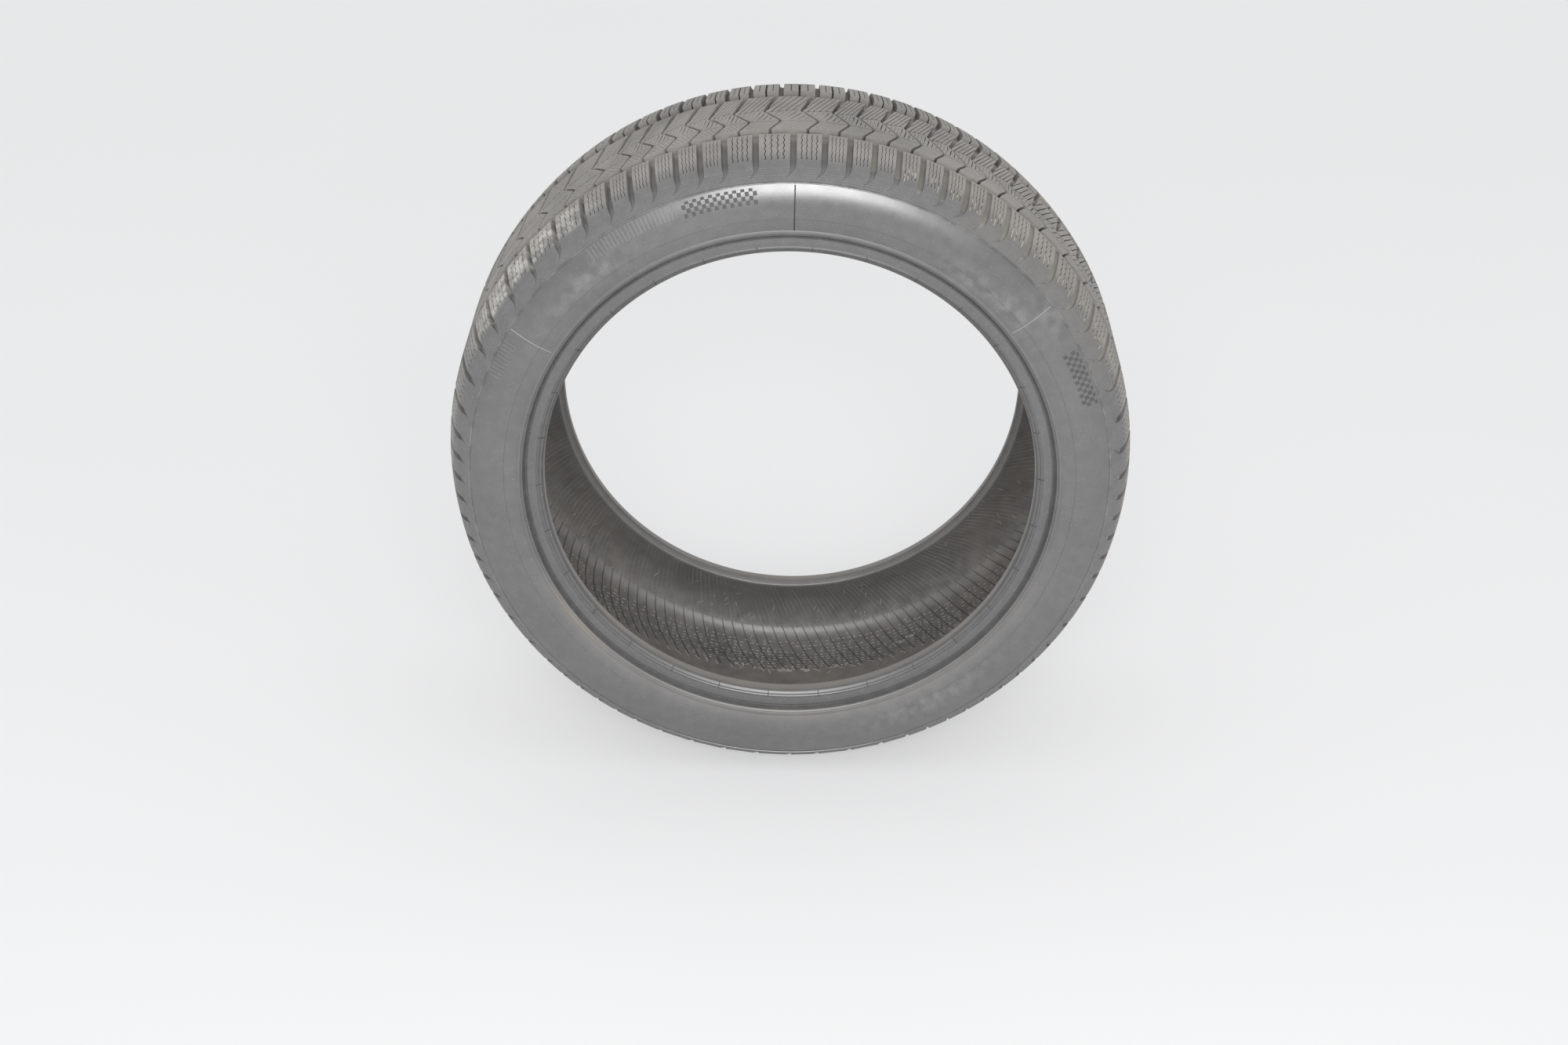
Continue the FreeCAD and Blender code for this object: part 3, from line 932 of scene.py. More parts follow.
@dataclass
class Tread:
    """The tread: a floor all round, and the rows of blocks and buttresses that stand on it."""

    section: Section
    blocks: Blocks
    wear_and_shade: TreadWearAndShade = TreadWearAndShade()
    back_turn: float = math.radians(3.8)
    floor_reach: float = 86.0
    floor_points: int = 25
    slot_points: int = 9
    floor_dust: float = 0.5
    foot_depth: float = 0.25
    rows: Tuple[Row, ...] = (
        Row("front_shoulder_blocks", -101.0, -61.0, (-119.0, -61.0), (0.0, 0.0), (6.2, 5.8), 4, 0.0,
            rim=(0.0, 0.04), wave=0.025, sipe_rows=14),
        Row("front_buttresses", -116.0, -101.0, (-116.0, -114.0, -112.0, -109.5, -107.0, -101.0),
            (-6.5, -3.2, -1.2, -0.2, 0.0, 0.0), (1.0, 1.8, 3.0, 4.6, 5.6, 6.2), 0, 0.0, sipe_rows=44),
        Row("front_middle_blocks", -50.0, -29.2, (-50.0, -28.0), (12.5, 22.5), (2.8, 2.8), 6, -0.75,
            rim=(0.14, 0.12), side_rim=0.09, sipe_width=0.55),
        Row("centre_blocks", -26.9, -5.4, (-28.0, -1.0), (22.5, 6.5), (2.8, 2.8), 7, 0.85,
            high_saw=7.0, rim=(0.10, 0.10), side_rim=0.06),
        Row("back_middle_blocks", -3.6, 38.0, (-1.0, 45.5), (6.5, 19.5), (3.0, 6.0), 5, 0.24,
            low_saw=7.0, sipe_width=1.0),
        Row("back_shoulder_blocks", 53.0, 98.0, (53.0, 119.0), (0.0, 0.0), (4.6, 4.6), 1, 0.0,
            rim=(0.06, 0.0), wave=0.02, sipe_rows=12, span=(0.0, 0.465), sipe_width=0.85),
        Row("back_shoulder_blocks_two", 53.0, 98.0, (53.0, 119.0), (0.0, 0.0), (4.6, 4.6), 1, 0.0,
            rim=(0.06, 0.0), wave=0.02, sipe_rows=12, span=(0.535, 1.0), sipe_width=0.85),
        Row("back_buttresses", 98.0, 116.0, (98.0, 107.0, 109.5, 112.0, 114.0, 116.0),
            (0.0, 0.0, 0.2, 1.2, 3.2, 6.5), (4.6, 4.6, 4.2, 3.0, 1.8, 1.0), 0, 0.0, sipe_rows=52),
    )

    def build(self) -> None:
        """Makes the floor, every row and the strips under the slots."""
        self.build_floor()
        material = TREAD_RUBBER.material()
        for row in self.rows:
            self.build_row(row, material)
        for side in Side:
            self.build_skirt(side, material)

    def build_floor(self) -> None:
        """Makes the groove floor: its section carried round the axle."""
        outer = np.linspace(self.section.tread_edge[0], self.section.slot_end, self.slot_points)
        inner = np.linspace(-self.floor_reach, self.floor_reach, self.floor_points)
        width = np.concatenate([-outer[::-1], inner, outer])
        shape = Shape()
        shape.add_ring(np.stack([width, self.section.floor(width)], axis=1))
        shape.piece("tread_floor", GROOVE_RUBBER.material(), self.wear_and_shade.marks(shape, self.floor_dust))

    def build_skirt(self, side: Side, material: bpy.types.Material) -> None:
        """Makes the plain strip between the slots' ends and the sidewall.

        Args:
            side: Which side.
            material: Its finish.
        """
        shape = Shape()
        shape.add_ring(on_side(self.section.skirt_run(), side))
        shape.piece(f"skirt_{side.label()}", material, self.wear_and_shade.marks(shape))

    def build_row(self, row: Row, material: bpy.types.Material) -> None:
        """Makes one row: its panels carried to every block.

        Args:
            row: The row.
            material: Its finish.
        """
        shape = Shape()
        for share, along in row.panels():
            self.add_panel(shape, row, share, along)
        shape.piece(row.name, material, self.wear_and_shade.marks(shape))

    def add_panel(self, shape: Shape, row: Row, share: Array, along: Array) -> None:
        """Adds one panel of a row at every block.

        A point's angle lies between the slot before the block and the slot after it by its
        share across. The top follows the tread's surface and the walls reach the floor.

        Args:
            shape: What the panel is added to.
            row: The row.
            share: Share across at each of the panel's points.
            along: Share along at each of them.
        """
        section = self.section
        starts, steps = self.blocks.starts(), self.blocks.steps()
        if row.low > 0.0:
            starts = starts + self.back_turn
        share, along = with_foot(share), with_foot(along)
        width = row.width_at(share, along)
        middle = np.interp(width, row.slot_places, row.slot_middles) / section.crown_radius
        half = 0.5 * np.interp(width, row.slot_places, row.slot_widths) / section.crown_radius
        left = starts[:, None, None] + middle + half
        angle = left + share * (steps[:, None, None] - 2.0 * half)
        radius = section.surface(width) - section.ridges(width)
        foot = np.minimum(section.floor(width) - self.foot_depth, radius)
        radius[[0, -1], :] = foot[[0, -1], :]
        radius[:, [0, -1]] = foot[:, [0, -1]]
        shape.add_lids(angle, width, radius, angle * section.crown_radius, width)


@dataclass(frozen=True)
class WallWearAndShade:
    """Where the sidewall shines, where dust and earth lie on it and where shade is painted on its
    bead foot, by radius and by angle.

    A pair is where a mark starts and where it is full, or where it starts to end and is gone.
    A stain is an angle, a radius and how far it reaches round.
    """

    gloss: Point = (264.0, 276.0)
    band_start: Point = (244.0, 249.0)
    band_end: Point = (252.0, 266.0)
    bottom: Point = (95.0, 130.0)
    foot: Point = (244.0, 248.0)
    seat: Point = (229.8, 230.6)
    edge: Point = (296.6, 297.3)
    edge_fade: float = 0.7
    flake: Tuple[float, float, float] = (-125.0, 250.5, 9.0)
    flake_height: float = 3.5
    stains: Tuple[Tuple[float, float, float], ...] = (
        (47.0, 268.0, 7.0), (37.5, 264.0, 6.0), (53.0, 290.0, 4.0), (-41.0, 275.0, 9.0), (150.0, 272.0, 12.0))
    stain_height: float = 9.0
    even_dust: float = 0.04
    stain_dust: float = 0.20
    edge_dust: float = 0.22
    even_soil: float = 0.03
    band_soil: float = 0.22
    seat_soil: float = 0.45
    flake_soil: float = 0.5
    foot_gloss: float = 0.4
    # Painted shade on the bead foot, deeper at the bottom, where the foot faces down.
    foot_painted_shade: float = 0.35
    bottom_painted_shade: float = 0.15

    def marks(self, shape: Shape) -> Marks:
        """Gloss on the upper wall, dust on the edge and in stains, earth above and in the bead, and
        painted shade on the bead foot.

        Args:
            shape: The points that get the marks.

        Returns:
            The marks by name.
        """
        angle, _, radius = shape.spots()
        band = soft_step(radius, *self.band_start) * soft_fall(radius, *self.band_end)
        bottom = soft_step(np.abs(angle), *self.bottom)
        foot = soft_fall(radius, *self.foot)
        seat = soft_fall(radius, *self.seat)
        edge = soft_step(radius, *self.edge) * (1.0 - self.edge_fade * bottom)
        flake = self.spot(angle, radius, self.flake, self.flake_height)
        stain = np.zeros(len(angle))
        for place in self.stains:
            stain = np.maximum(stain, self.spot(angle, radius, place, self.stain_height))
        # The wall mark is painted shade on the bead foot, deeper at the bottom.
        return {"dust": self.even_dust + self.stain_dust * stain + self.edge_dust * edge,
                "soil": (self.even_soil + self.band_soil * band * bottom + self.seat_soil * seat
                         + self.flake_soil * flake),
                "gloss": np.maximum(soft_step(radius, *self.gloss), self.foot_gloss * foot * bottom),
                "wall": foot * (self.foot_painted_shade + self.bottom_painted_shade * bottom)}

    def spot(self, angle: Array, radius: Array, place: Tuple[float, float, float], height: float) -> Array:
        """A soft round spot: the bell curve of the angle times that of the radius."""
        turn, middle, reach = place
        return np.exp(-((angle - turn) / reach) ** 2 - ((radius - middle) / height) ** 2)


@dataclass
class LinerRelief:
    """Low relief gathered on the liner's run, between distances along it."""

    run: Array
    shape: Shape = field(default_factory=Shape)

    def middle(self) -> float:
        """Distance along the run to the liner's middle."""
        return 0.5 * length_along(self.run)[-1]

    def radius(self) -> float:
        """The liner's largest radius."""
        return float(self.run[:, 1].max())

    def add(self, turns: Array, half: float, low: Amount, high: Amount, lean: Amount, height: float,
            rows: int) -> None:
        """Adds patches as a shape does, with half their width as a distance round the liner."""
        self.shape.add_patches(self.run, turns, half / self.radius(), low, high, lean, height, rows)


@dataclass(frozen=True)
class RibSet:
    """Ribs of one kind on the liner: how far they are turned on, their reach and their size."""

    shift: float
    reach: Point
    half: float
    height: float


@dataclass
class Carcass:
    """The sidewalls with their beads, and the liner between them."""

    section: Section
    wear_and_shade: WallWearAndShade = WallWearAndShade()
    groove_reach: Point = (243.9, 248.3)
    groove_points: int = 28
    groove_height: float = 0.08
    liner_crown: Point = (262.0, 296.0)
    liner_middle: Point = (44.0, 62.0)
    liner_sides: Point = (122.0, 158.0)
    liner_foot: Point = (234.0, 250.0)
    even_dust: float = 0.05
    crown_dust: float = 0.16
    sides_dust: float = 0.05
    crown_soil: float = 0.15
    middle_soil: float = 0.25
    sides_soil: float = 0.32
    middle_dull: float = 0.8
    rib_count: int = 168
    rib_lean: float = 0.45
    rib_rows: int = 15
    rib_floor: Point = (284.0, 297.0)
    # A painted highlight lightens the ribs on the liner's sides.
    rib_side_highlight: float = 0.2
    rib_soil: float = 0.1
    # Painted shade darkens the ribs on the liner's floor.
    rib_floor_shade: float = 0.75
    rib_gloss: float = 0.8
    ribs: Tuple[RibSet, ...] = (
        RibSet(0.0, (50.0, 166.0), 0.5, 0.4), RibSet(0.5, (112.0, 167.0), 0.34, 0.3))

    def build(self) -> None:
        """Makes both sidewalls with the strips of painted shade in their flange grooves, the liner and its
        ribs.
        """
        material = SIDEWALL_RUBBER.material()
        groove = BEAD_GROOVE_SHADE.material()
        for side in Side:
            self.build_side(side, material)
            self.build_groove_shade(side, groove)
        self.build_liner()
        self.build_ribs()

    def build_side(self, side: Side, material: bpy.types.Material) -> None:
        """Makes one sidewall: its run carried round the axle, with its outside facing out.

        Args:
            side: Which side.
            material: Its finish.
        """
        shape = Shape()
        shape.add_ring(on_side(self.section.side_run(), side))
        shape.piece(f"sidewall_{side.label()}", material, self.wear_and_shade.marks(shape))

    def build_groove_shade(self, side: Side, material: bpy.types.Material) -> None:
        """Makes the strip of painted shade in the flange groove: a dark part of the wall's run, a hair
        above it.

        Args:
            side: Which side.
            material: Its finish.
        """
        run = on_side(self.section.side_run(), side)
        rising = int(-side.value)
        ends = np.interp(self.groove_reach, run[::rising, 1], length_along(run)[::rising])
        stretch = np.linspace(ends.min(), ends.max(), self.groove_points)
        rise = np.full(self.groove_points, self.groove_height)
        rise[[0, -1]] = SUNK
        shape = Shape()
        shape.add_ring(np.stack(raised(run, stretch, rise), axis=1))
        marks = shape.even(dust=self.wear_and_shade.even_dust, soil=self.wear_and_shade.even_soil)
        shape.piece(f"bead_groove_{side.label()}", material, marks)

    def build_liner(self) -> None:
        """Makes the inside: its run from the back bead to the front one, carried round."""
        shape = Shape()
        shape.add_ring(self.section.liner_run())
        angle, width, radius = shape.spots()
        crown = soft_step(radius, *self.liner_crown)
        middle = soft_fall(np.abs(width), *self.liner_middle) * crown
        sides = soft_fall(np.abs(angle), *self.liner_sides) * soft_step(radius, *self.liner_foot)
        shape.piece("liner", LINER_RUBBER.material(), {
            "dust": self.even_dust + self.crown_dust * crown + self.sides_dust * sides,
            "soil": self.crown_soil * crown + self.middle_soil * middle + self.sides_soil * sides,
            "gloss": 1.0 - self.middle_dull * middle, "wall": np.zeros(len(angle))})

    def build_ribs(self) -> None:
        """Makes the liner's slanted ribs on both sides of its middle, and finer ones between.

        On the floor of the liner the ribs are darkened with painted shade, and on its sides they are
        lightened with a painted highlight in the dust colour.
        """
        relief = LinerRelief(self.section.liner_run())
        middle, slant = relief.middle(), self.rib_lean / relief.radius()
        turns = np.linspace(0.0, FULL_TURN, self.rib_count, endpoint=False)
        for ribs in self.ribs:
            near, far = ribs.reach
            for low, high in ((middle - far, middle - near), (middle + near, middle + far)):
                start = turns + ribs.shift * turns[1] - slant * low
                relief.add(start, ribs.half, low, high, -slant * (high - low), ribs.height, self.rib_rows)
        floor = soft_step(relief.shape.spots()[2], *self.rib_floor)
        marks = relief.shape.even(gloss=self.rib_gloss)
        # Painted shade darkens the ribs on the liner's floor, and a painted highlight in the dust colour
        # lightens them on its sides.
        marks.update(dust=self.rib_side_highlight * (1.0 - floor), soil=self.rib_soil * (1.0 - floor),
                     wall=self.rib_floor_shade * floor)
        relief.shape.piece("liner_ribs", RIB_HIGHLIGHT_AND_SHADE.material(), marks)


@dataclass(frozen=True)
class Relief:
    """One kind of low relief: half its width in degrees, its height and the points along it."""

    half: float
    height: float
    rows: int


@dataclass
class SideTrim:
    """The low relief moulded on a sidewall: thin lines, a hatched band, chequers and vent ticks."""

    section: Section
    seam_turns: Tuple[float, ...] = (0.4,)
    seam: Relief = Relief(0.11, 0.35, 24)
    line_turns: Tuple[float, ...] = (51.5, -58.5)
    line: Relief = Relief(0.12, 0.35, 24)
    line_reach: Point = (254.4, 296.2)
    tick_count: int = 30
    tick_shift: float = 0.37
    tick: Relief = Relief(0.10, 0.35, 5)
    tick_reach: Point = (231.6, 236.6)
    hatches: Tuple[Tuple[float, float, int], ...] = ((-38.0, -20.8, 23), (-68.0, -61.0, 10))
    hatch: Relief = Relief(0.17, 0.25, 8)
    hatch_reach: Point = (283.0, 295.6)
    chequers: Tuple[Point, ...] = ((-19.6, -5.6), (61.0, 73.0))
    chequer_reach: Point = (281.0, 295.2)
    chequer_rows: int = 4
    chequer_height: float = 0.10
    chequer_points: int = 4
    margin: float = 0.6
    dust: float = 0.05
    gloss: float = 0.8

    def build(self) -> None:
        """Makes the lines and ticks of both sides, and the front's hatch and chequers."""
        pad, line, seam = PAD_RUBBER.material(), LINE_RUBBER.material(), SEAM_RUBBER.material()
        ticks = (np.arange(self.tick_count) + self.tick_shift) * 360.0 / self.tick_count
        for side in Side:
            for name, turns, relief, reach, material in (
                    ("mould_lines", np.array(self.line_turns), self.line, self.line_reach, line),
                    ("mould_seam", np.array(self.seam_turns), self.seam, self.line_reach, seam),
                    ("vent_ticks", ticks, self.tick, self.tick_reach, pad)):
                shape = Shape()
                self.on_wall(shape, side, turns, relief, reach)
                self.finish(shape, f"{name}_{side.label()}", material)
        shape = Shape()
        for first, last, count in self.hatches:
            self.on_wall(shape, Side.FRONT, np.linspace(first, last, count), self.hatch, self.hatch_reach)
        self.finish(shape, "hatch", HATCH_RUBBER.material())
        shape = Shape()
        for band in self.chequers:
            self.add_chequer(shape, band)
        self.finish(shape, "chequers", pad)

    def add_chequer(self, shape: Shape, band: Point) -> None:
        """Adds one chequered band: square pads, every other one left out.

        Args:
            shape: What the pads are added to.
            band: Where the band starts and ends, in degrees.
        """
        low, high = self.chequer_reach
        edges = np.linspace(low, high, self.chequer_rows + 1)
        tile = math.degrees((high - low) / self.chequer_rows / (0.5 * (low + high)))
        columns = int((band[1] - band[0]) / tile)
        relief = Relief(0.5 * tile, self.chequer_height, self.chequer_points)
        for row in range(self.chequer_rows):
            turns = band[0] + tile * (np.arange(row % 2, columns, 2) + 0.5)
            self.on_wall(shape, Side.FRONT, turns, relief, (edges[row], edges[row + 1]))

    def on_wall(self, shape: Shape, side: Side, turns: Array, relief: Relief, reach: Point) -> None:
        """Adds patches that lie on a sidewall between two radii.

        Args:
            shape: What the patches are added to.
            side: Which side.
            turns: The middle of each patch, in degrees.
            relief: A patch's size.
            reach: The radii between which it lies.
        """
        run = on_side(self.section.side_run(), side)
        inside = (run[:, 1] >= reach[0] - self.margin) & (run[:, 1] <= reach[1] + self.margin)
        stretch = length_along(run)[inside]
        shape.add_patches(run, np.radians(turns), math.radians(relief.half), stretch.min(), stretch.max(), 0.0,
                          relief.height, relief.rows)

    def finish(self, shape: Shape, name: str, material: bpy.types.Material) -> None:
        """Makes the piece, with an even little dust and the wall's gloss."""
        shape.piece(name, material, shape.even(dust=self.dust, gloss=self.gloss))


@dataclass
class Dirt:
    """Mud and earth on the front shoulder's right half, and pale marks on the liner.

    Turns are in degrees, rows are distances from the liner's middle, and a clump is a turn, a
    row, how far it spreads in degrees and how many crumbs it has. A shift is how far places
    stray round the tyre and across it, and a lean is an angle or its middle and its spread.
    """

    section: Section
    blocks: Blocks
    seed: int = 11
    slot_width: float = 6.0
    mud_turns: Point = (16.0, 66.0)
    mud_shares: Tuple[float, ...] = (0.2, 0.4, 0.6, 0.8)
    mud_kept: float = 0.62
    mud_reach: Point = (-116.0, -56.0)
    mud_points: int = 61
    mud_start: Point = (-106.0, -92.0)
    mud_length: Point = (2.5, 9.0)
    mud_half: float = 0.42
    mud_height: float = 0.12
    mud_shift: float = 0.0006
    mud_lean: float = 0.001
    mud_rows: int = 5
    mud_soil: float = 0.2
    fill_turns: Point = (13.0, 72.0)
    fill_reach: Point = (-108.0, -64.0)
    fill_points: int = 23
    fill_rise: Point = (13.0, 36.0)
    fill_depth: Point = (4.4, 1.9)
    fill_height: float = 0.2
    fill_dust: float = 0.1
    fill_soil: float = 0.1
    dash_turns: Point = (118.0, 242.0)
    dash_rows: Tuple[float, float, float] = (56.0, 96.0, 4.4)
    dash_pitch: float = 6.2
    dash_half: float = 1.6
    dash_side: float = 0.3
    dash_share: float = 0.7
    dash_height: float = 0.25
    dash_shift: Point = (0.4, 0.35)
    dash_lean: float = 0.0008
    dash_points: int = 2
    fleck_spread: float = 96.0
    fleck_count: int = 320
    fleck_rows: Point = (40.0, 160.0)
    fleck_length: Point = (1.5, 6.0)
    fleck_half: float = 0.28
    fleck_height: float = 0.2
    fleck_bell: float = 0.5
    fleck_lean: Point = (0.006, 0.006)
    fleck_points: int = 4
    hook_spread: float = 48.0
    hook_count: int = 46
    hook_row: float = 52.0
    hook_length: Point = (3.5, 8.5)
    hook_half: float = 0.45
    hook_height: float = 0.3
    hook_shift: Point = (0.004, 1.5)
    hook_lean: Point = (-0.014, 0.006)
    hook_points: int = 5
    clumps: Tuple[Tuple[float, float, float, int], ...] = (
        (181.0, 49.5, 1.4, 18), (176.8, 50.0, 0.9, 14), (170.0, 52.5, 1.0, 10), (157.3, 72.0, 0.8, 16),
        (155.2, 76.0, 0.6, 12), (189.5, 55.0, 1.5, 12))
    crumb_length: Point = (0.6, 2.6)
    crumb_half: float = 0.6
    crumb_height: float = 0.4
    crumb_shift: Point = (0.7, 1.2)
    crumb_lean: float = 0.006
    crumb_points: int = 3

    def build(self) -> None:
        """Makes the mud, the marks on the liner and the earth in the slots."""
        dice = np.random.default_rng(self.seed)
        self.build_mud(dice)
        self.build_flecks(dice)
        self.build_fill()

    def build_mud(self, dice: np.random.Generator) -> None:
        """Makes short streaks over the lower ends of the sipes, some of them left out.

        Args:
            dice: The seeded numbers.
        """
        starts, steps = self.blocks.starts(), self.blocks.steps()
        low, high = np.radians(self.mud_turns)
        chosen = (starts > low) & (starts < high)
        half = 0.5 * self.slot_width / self.section.crown_radius
        shares = np.array(self.mud_shares)[None, :]
        turns = (starts[chosen, None] + half + shares * (steps[chosen, None] - 2.0 * half)).ravel()
        turns = np.repeat(turns, 2)
        turns = turns[dice.random(len(turns)) < self.mud_kept]
        count = len(turns)
        width = np.linspace(*self.mud_reach, self.mud_points)
        run = np.stack([width, self.section.surface(width)], axis=1)
        along = length_along(run)
        first = dice.uniform(*self.mud_start, count)
        last = first + dice.uniform(*self.mud_length, count)
        turns = turns + dice.normal(0.0, self.mud_shift, count)
        lean = dice.normal(0.0, self.mud_lean, count)
        shape = Shape()
        shape.add_patches(run, turns, self.mud_half / self.section.crown_radius, np.interp(first, width, along),
                          np.interp(last, width, along), lean, self.mud_height, self.mud_rows)
        shape.piece("dried_mud", DRIED_MUD.material(), shape.even(soil=self.mud_soil))

    def build_fill(self) -> None:
        """Makes the earth that has dried in the front shoulder's slots on the right."""
        starts = self.blocks.starts()
        low, high = np.radians(self.fill_turns)
        turns = starts[(starts > low) & (starts < high)]
        depths = np.interp(np.degrees(turns), self.fill_rise, self.fill_depth)
        width = np.linspace(*self.fill_reach, self.fill_points)
        half = 0.5 * self.slot_width / self.section.crown_radius
        shape = Shape()
        for turn, depth in zip(turns, depths):
            run = np.stack([width, self.section.surface(width) - depth], axis=1)
            shape.add_patches(run, np.array([turn]), half, 0.0, length_along(run)[-1], 0.0, self.fill_height,
                              self.fill_points)
        marks = shape.even(dust=self.fill_dust, soil=self.fill_soil)
        shape.piece("slot_earth", SLOT_EARTH.material(), marks)

    def build_flecks(self, dice: np.random.Generator) -> None:
        """Makes the pale marks on the liner: dashes in rows, flecks, hooks and clumps of crumbs.

        Args:
            dice: The seeded numbers.
        """
        relief = LinerRelief(self.section.liner_run())
        for add in (self.add_dashes, self.add_flecks, self.add_hooks, self.add_clumps):
            add(relief, dice)
        relief.shape.piece("liner_flecks", PALE_DUST.material(), relief.shape.even())

    def add_dashes(self, relief: LinerRelief, dice: np.random.Generator) -> None:
        """Adds rows of short dashes round the liner, the same on both sides, some left out.

        Args:
            relief: What they are added to.
            dice: The seeded numbers.
        """
        radius = relief.radius()
        low, high = np.radians(self.dash_turns)
        row, turn = np.meshgrid(np.arange(*self.dash_rows), np.arange(low, high, self.dash_pitch / radius))
        kept = dice.random(row.shape) < self.dash_share
        row, turn = row[kept], turn[kept]
        turn = turn + dice.normal(0.0, self.dash_shift[0], len(turn)) / radius
        row = row + dice.normal(0.0, self.dash_shift[1], len(row))
        for side in Side:
            place = relief.middle() - side.value * row
            relief.add(turn, self.dash_half, place - self.dash_side, place + self.dash_side, self.dash_lean,
                       self.dash_height, self.dash_points)

    def add_flecks(self, relief: LinerRelief, dice: np.random.Generator) -> None:
        """Adds loose flecks, closest together at the bottom.

        Args:
            relief: What they are added to.
            dice: The seeded numbers.
        """
        count = self.fleck_count
        spread = np.clip(dice.normal(0.0, self.fleck_bell, count), -1.0, 1.0)
        place = relief.middle() + dice.choice([-1.0, 1.0], count) * dice.uniform(*self.fleck_rows, count)
        last = place + dice.uniform(*self.fleck_length, count)
        lean = dice.normal(*self.fleck_lean, count)
        relief.add(np.radians(180.0 + self.fleck_spread * spread), self.fleck_half, place, last, lean,
                   self.fleck_height, self.fleck_points)

    def add_hooks(self, relief: LinerRelief, dice: np.random.Generator) -> None:
        """Adds the slanted hooks at the ribs' ends, on both sides.

        Args:
            relief: What they are added to.
            dice: The seeded numbers.
        """
        count = self.hook_count
        even = np.radians(180.0 + np.linspace(-self.hook_spread, self.hook_spread, count))
        for side in Side:
            row = self.hook_row + dice.normal(0.0, self.hook_shift[1], count)
            place = relief.middle() - side.value * row
            turns = even + dice.normal(0.0, self.hook_shift[0], count)
            last = place + dice.uniform(*self.hook_length, count)
            lean = dice.normal(*self.hook_lean, count)
            relief.add(turns, self.hook_half, place, last, lean, self.hook_height, self.hook_points)

    def add_clumps(self, relief: LinerRelief, dice: np.random.Generator) -> None:
        """Adds the clumps of crumbs at the back of the liner's floor.

        Args:
            relief: What they are added to.
            dice: The seeded numbers.
        """
        table = np.array(self.clumps)
        turn, row, spread = np.repeat(table[:, :3], table[:, 3].astype(int), axis=0).T
        count = len(turn)
        place = relief.middle() - row + dice.normal(0.0, self.crumb_shift[1], count)
        turns = np.radians(turn + spread * dice.normal(0.0, self.crumb_shift[0], count))
        last = place + dice.uniform(*self.crumb_length, count)
        lean = dice.normal(0.0, self.crumb_lean, count)
        relief.add(turns, self.crumb_half, place, last, lean, self.crumb_height, self.crumb_points)


# The studio


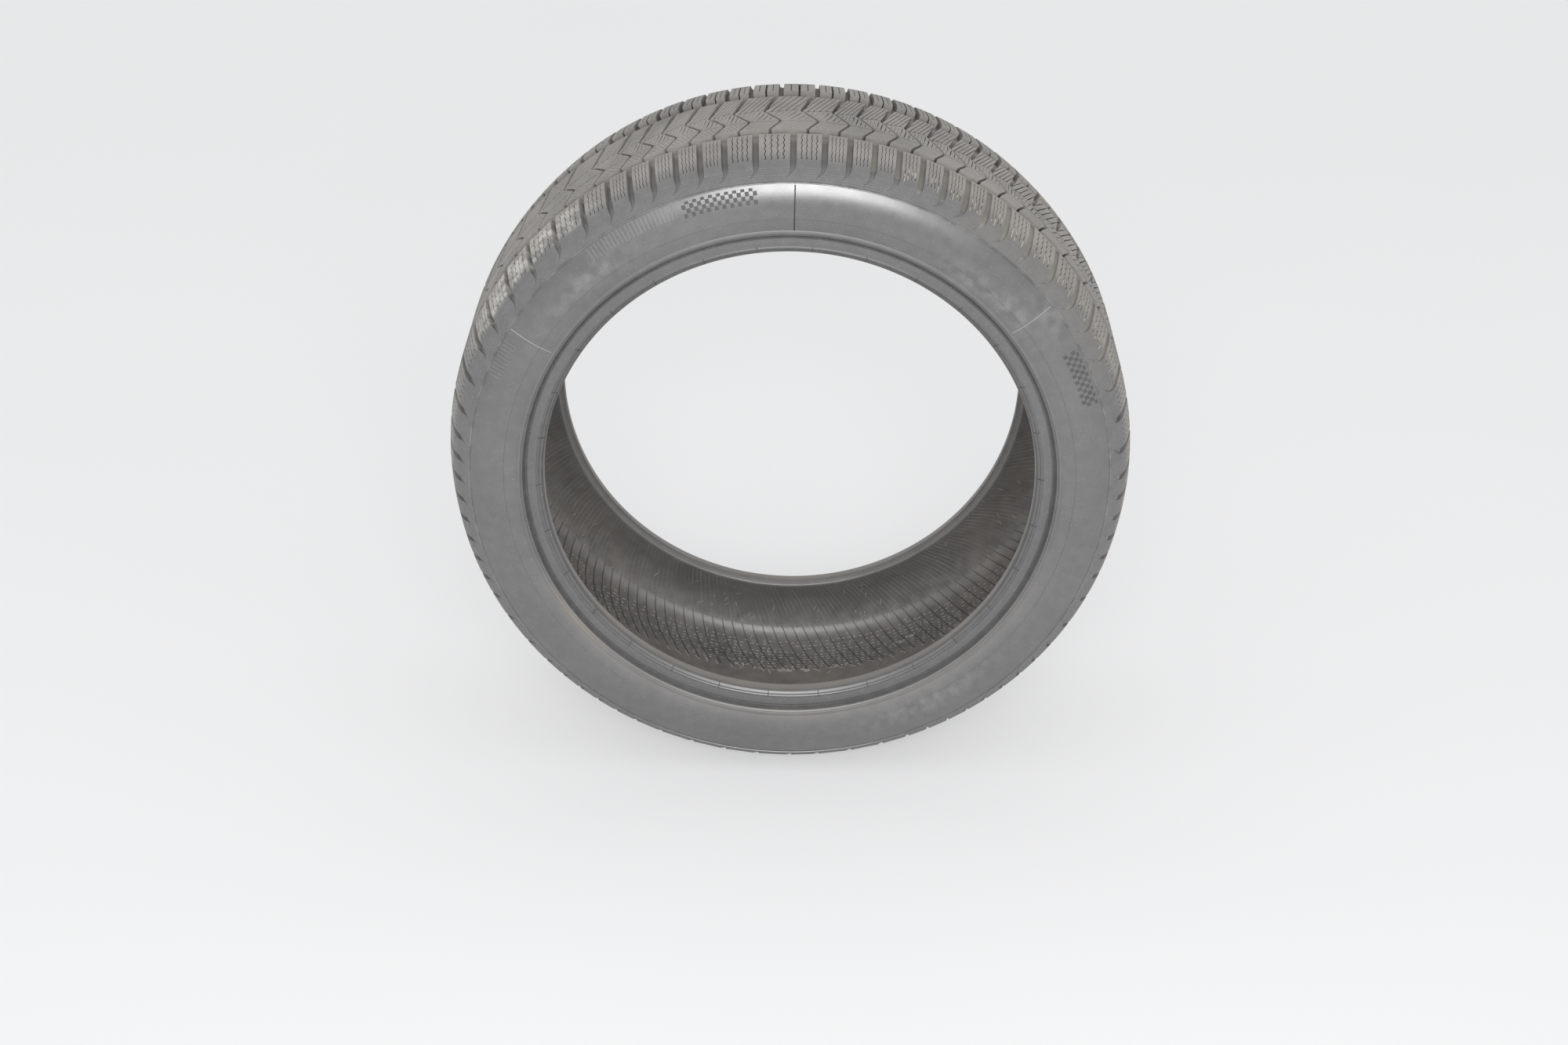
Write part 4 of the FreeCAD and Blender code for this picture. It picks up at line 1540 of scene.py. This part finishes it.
@dataclass
class Studio:
    """The floor, the light and the camera, in metres and radians."""

    floor_colour: Colour = (0.92, 0.925, 0.935)
    floor_shade: float = 0.985
    floor_noise: Point = (1.6, 2.0)
    floor_range: Point = (0.3, 0.7)
    floor_rough: float = 0.8
    floor_shine: float = 0.2
    floor_seen: Colour = (0.835, 0.838, 0.846)
    floor_glow: float = 0.5
    floor_reach: float = 30.0
    sky: float = 0.80
    key_power: float = 33.0
    key_size: Point = (1.25, 0.85)
    key_place: Tuple[float, float, float] = (0.08, -2.35, 1.12)
    image_width: float = 2000.0
    focal_pixels: float = 3201.4
    sensor: float = 36.0
    far_clip: float = 100.0
    eye: Tuple[float, float, float] = (0.0100, -2.1877, 1.0842)
    pitch: float = 0.498
    yaw: float = 0.007
    roll: float = -0.011

    def build(self) -> None:
        """Makes the floor, the lights and the camera."""
        bpy.context.scene.view_settings.view_transform = "Standard"
        self.build_floor()
        self.build_world()
        self.build_key()
        self.build_camera()

    def build_floor(self) -> None:
        """Makes the floor: one large square under the tyre."""
        reach, height = self.floor_reach, GROUND * MILLIMETRE
        corners = [(-reach, -reach, height), (reach, -reach, height), (reach, reach, height),
                   (-reach, reach, height)]
        mesh = bpy.data.meshes.new("floor")
        mesh.from_pydata(corners, [], [(0, 1, 2, 3)])
        mesh.materials.append(self.floor_paint())
        floor = bpy.data.objects.new("floor", mesh)
        bpy.context.scene.collection.objects.link(floor)

    def floor_paint(self) -> bpy.types.Material:
        """Pale paint, half of it seen at an even brightness by the camera and in reflections.

        Returns:
            The material.
        """
        bench = Bench("floor")
        soft = bench.ranged(bench.noise(*self.floor_noise), self.floor_range, UNIT)
        shade = tuple(self.floor_shade * part for part in self.floor_colour)
        paint = bench.node("ShaderNodeBsdfPrincipled", {
            "Base Color": bench.blend(soft, self.floor_colour, shade), "Roughness": self.floor_rough,
            "Specular IOR Level": self.floor_shine})
        path = bench.node("ShaderNodeLightPath", {})
        seen = bench.maths("MAXIMUM", path.outputs["Is Camera Ray"], path.outputs["Is Glossy Ray"])
        seen = bench.maths("MAXIMUM", seen, path.outputs["Is Transmission Ray"])
        seen = bench.maths("MULTIPLY", seen, self.floor_glow)
        even = bench.node("ShaderNodeEmission", {"Color": (*self.floor_seen, 1.0)})
        both = bench.node("ShaderNodeMixShader", {0: seen, 1: paint.outputs[0], 2: even.outputs[0]})
        bench.node("ShaderNodeOutputMaterial", {0: both.outputs[0]})
        return bench.material

    def build_world(self) -> None:
        """Makes the even light from all round."""
        world = bpy.data.worlds.new("studio")
        world.use_nodes = True
        tree = world.node_tree
        tree.nodes.clear()
        light = tree.nodes.new("ShaderNodeBackground")
        out = tree.nodes.new("ShaderNodeOutputWorld")
        tree.links.new(light.outputs[0], out.inputs[0])
        light.inputs["Color"].default_value = (1.0, 1.0, 1.0, 1.0)
        light.inputs["Strength"].default_value = self.sky
        bpy.context.scene.world = world

    def build_key(self) -> None:
        """Makes the wide soft light in front and above, turned towards the tyre."""
        lamp = bpy.data.lights.new("key", "AREA")
        lamp.shape = "RECTANGLE"
        lamp.size, lamp.size_y = self.key_size
        lamp.energy = self.key_power
        holder = bpy.data.objects.new("key", lamp)
        bpy.context.scene.collection.objects.link(holder)
        holder.location = self.key_place
        aim = -np.array(self.key_place)
        tilt = math.atan2(math.hypot(aim[0], aim[1]), -aim[2])
        holder.rotation_euler = (tilt, 0.0, math.atan2(-aim[0], aim[1]))

    def build_camera(self) -> None:
        """Makes the camera where the photograph was taken, turned as it was held."""
        lens = bpy.data.cameras.new("camera")
        lens.sensor_width = self.sensor
        lens.lens = self.focal_pixels / self.image_width * self.sensor
        lens.clip_end = self.far_clip
        camera = bpy.data.objects.new("camera", lens)
        bpy.context.scene.collection.objects.link(camera)
        turn = (Matrix.Rotation(self.yaw, 4, "Z") @ Matrix.Rotation(-self.pitch, 4, "X")
                @ Matrix.Rotation(self.roll, 4, "Y") @ Matrix.Rotation(math.radians(90.0), 4, "X"))
        camera.matrix_world = Matrix.Translation(self.eye) @ turn
        bpy.context.scene.camera = camera


def main() -> None:
    """Loads the frame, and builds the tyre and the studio."""
    logging.basicConfig(level=logging.INFO, format="%(message)s")
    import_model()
    section = Section()
    blocks = Blocks()
    Tread(section, blocks).build()
    Carcass(section).build()
    SideTrim(section).build()
    Dirt(section, blocks).build()
    Studio().build()
    bpy.context.view_layer.update()


if __name__ == "__main__":
    main()
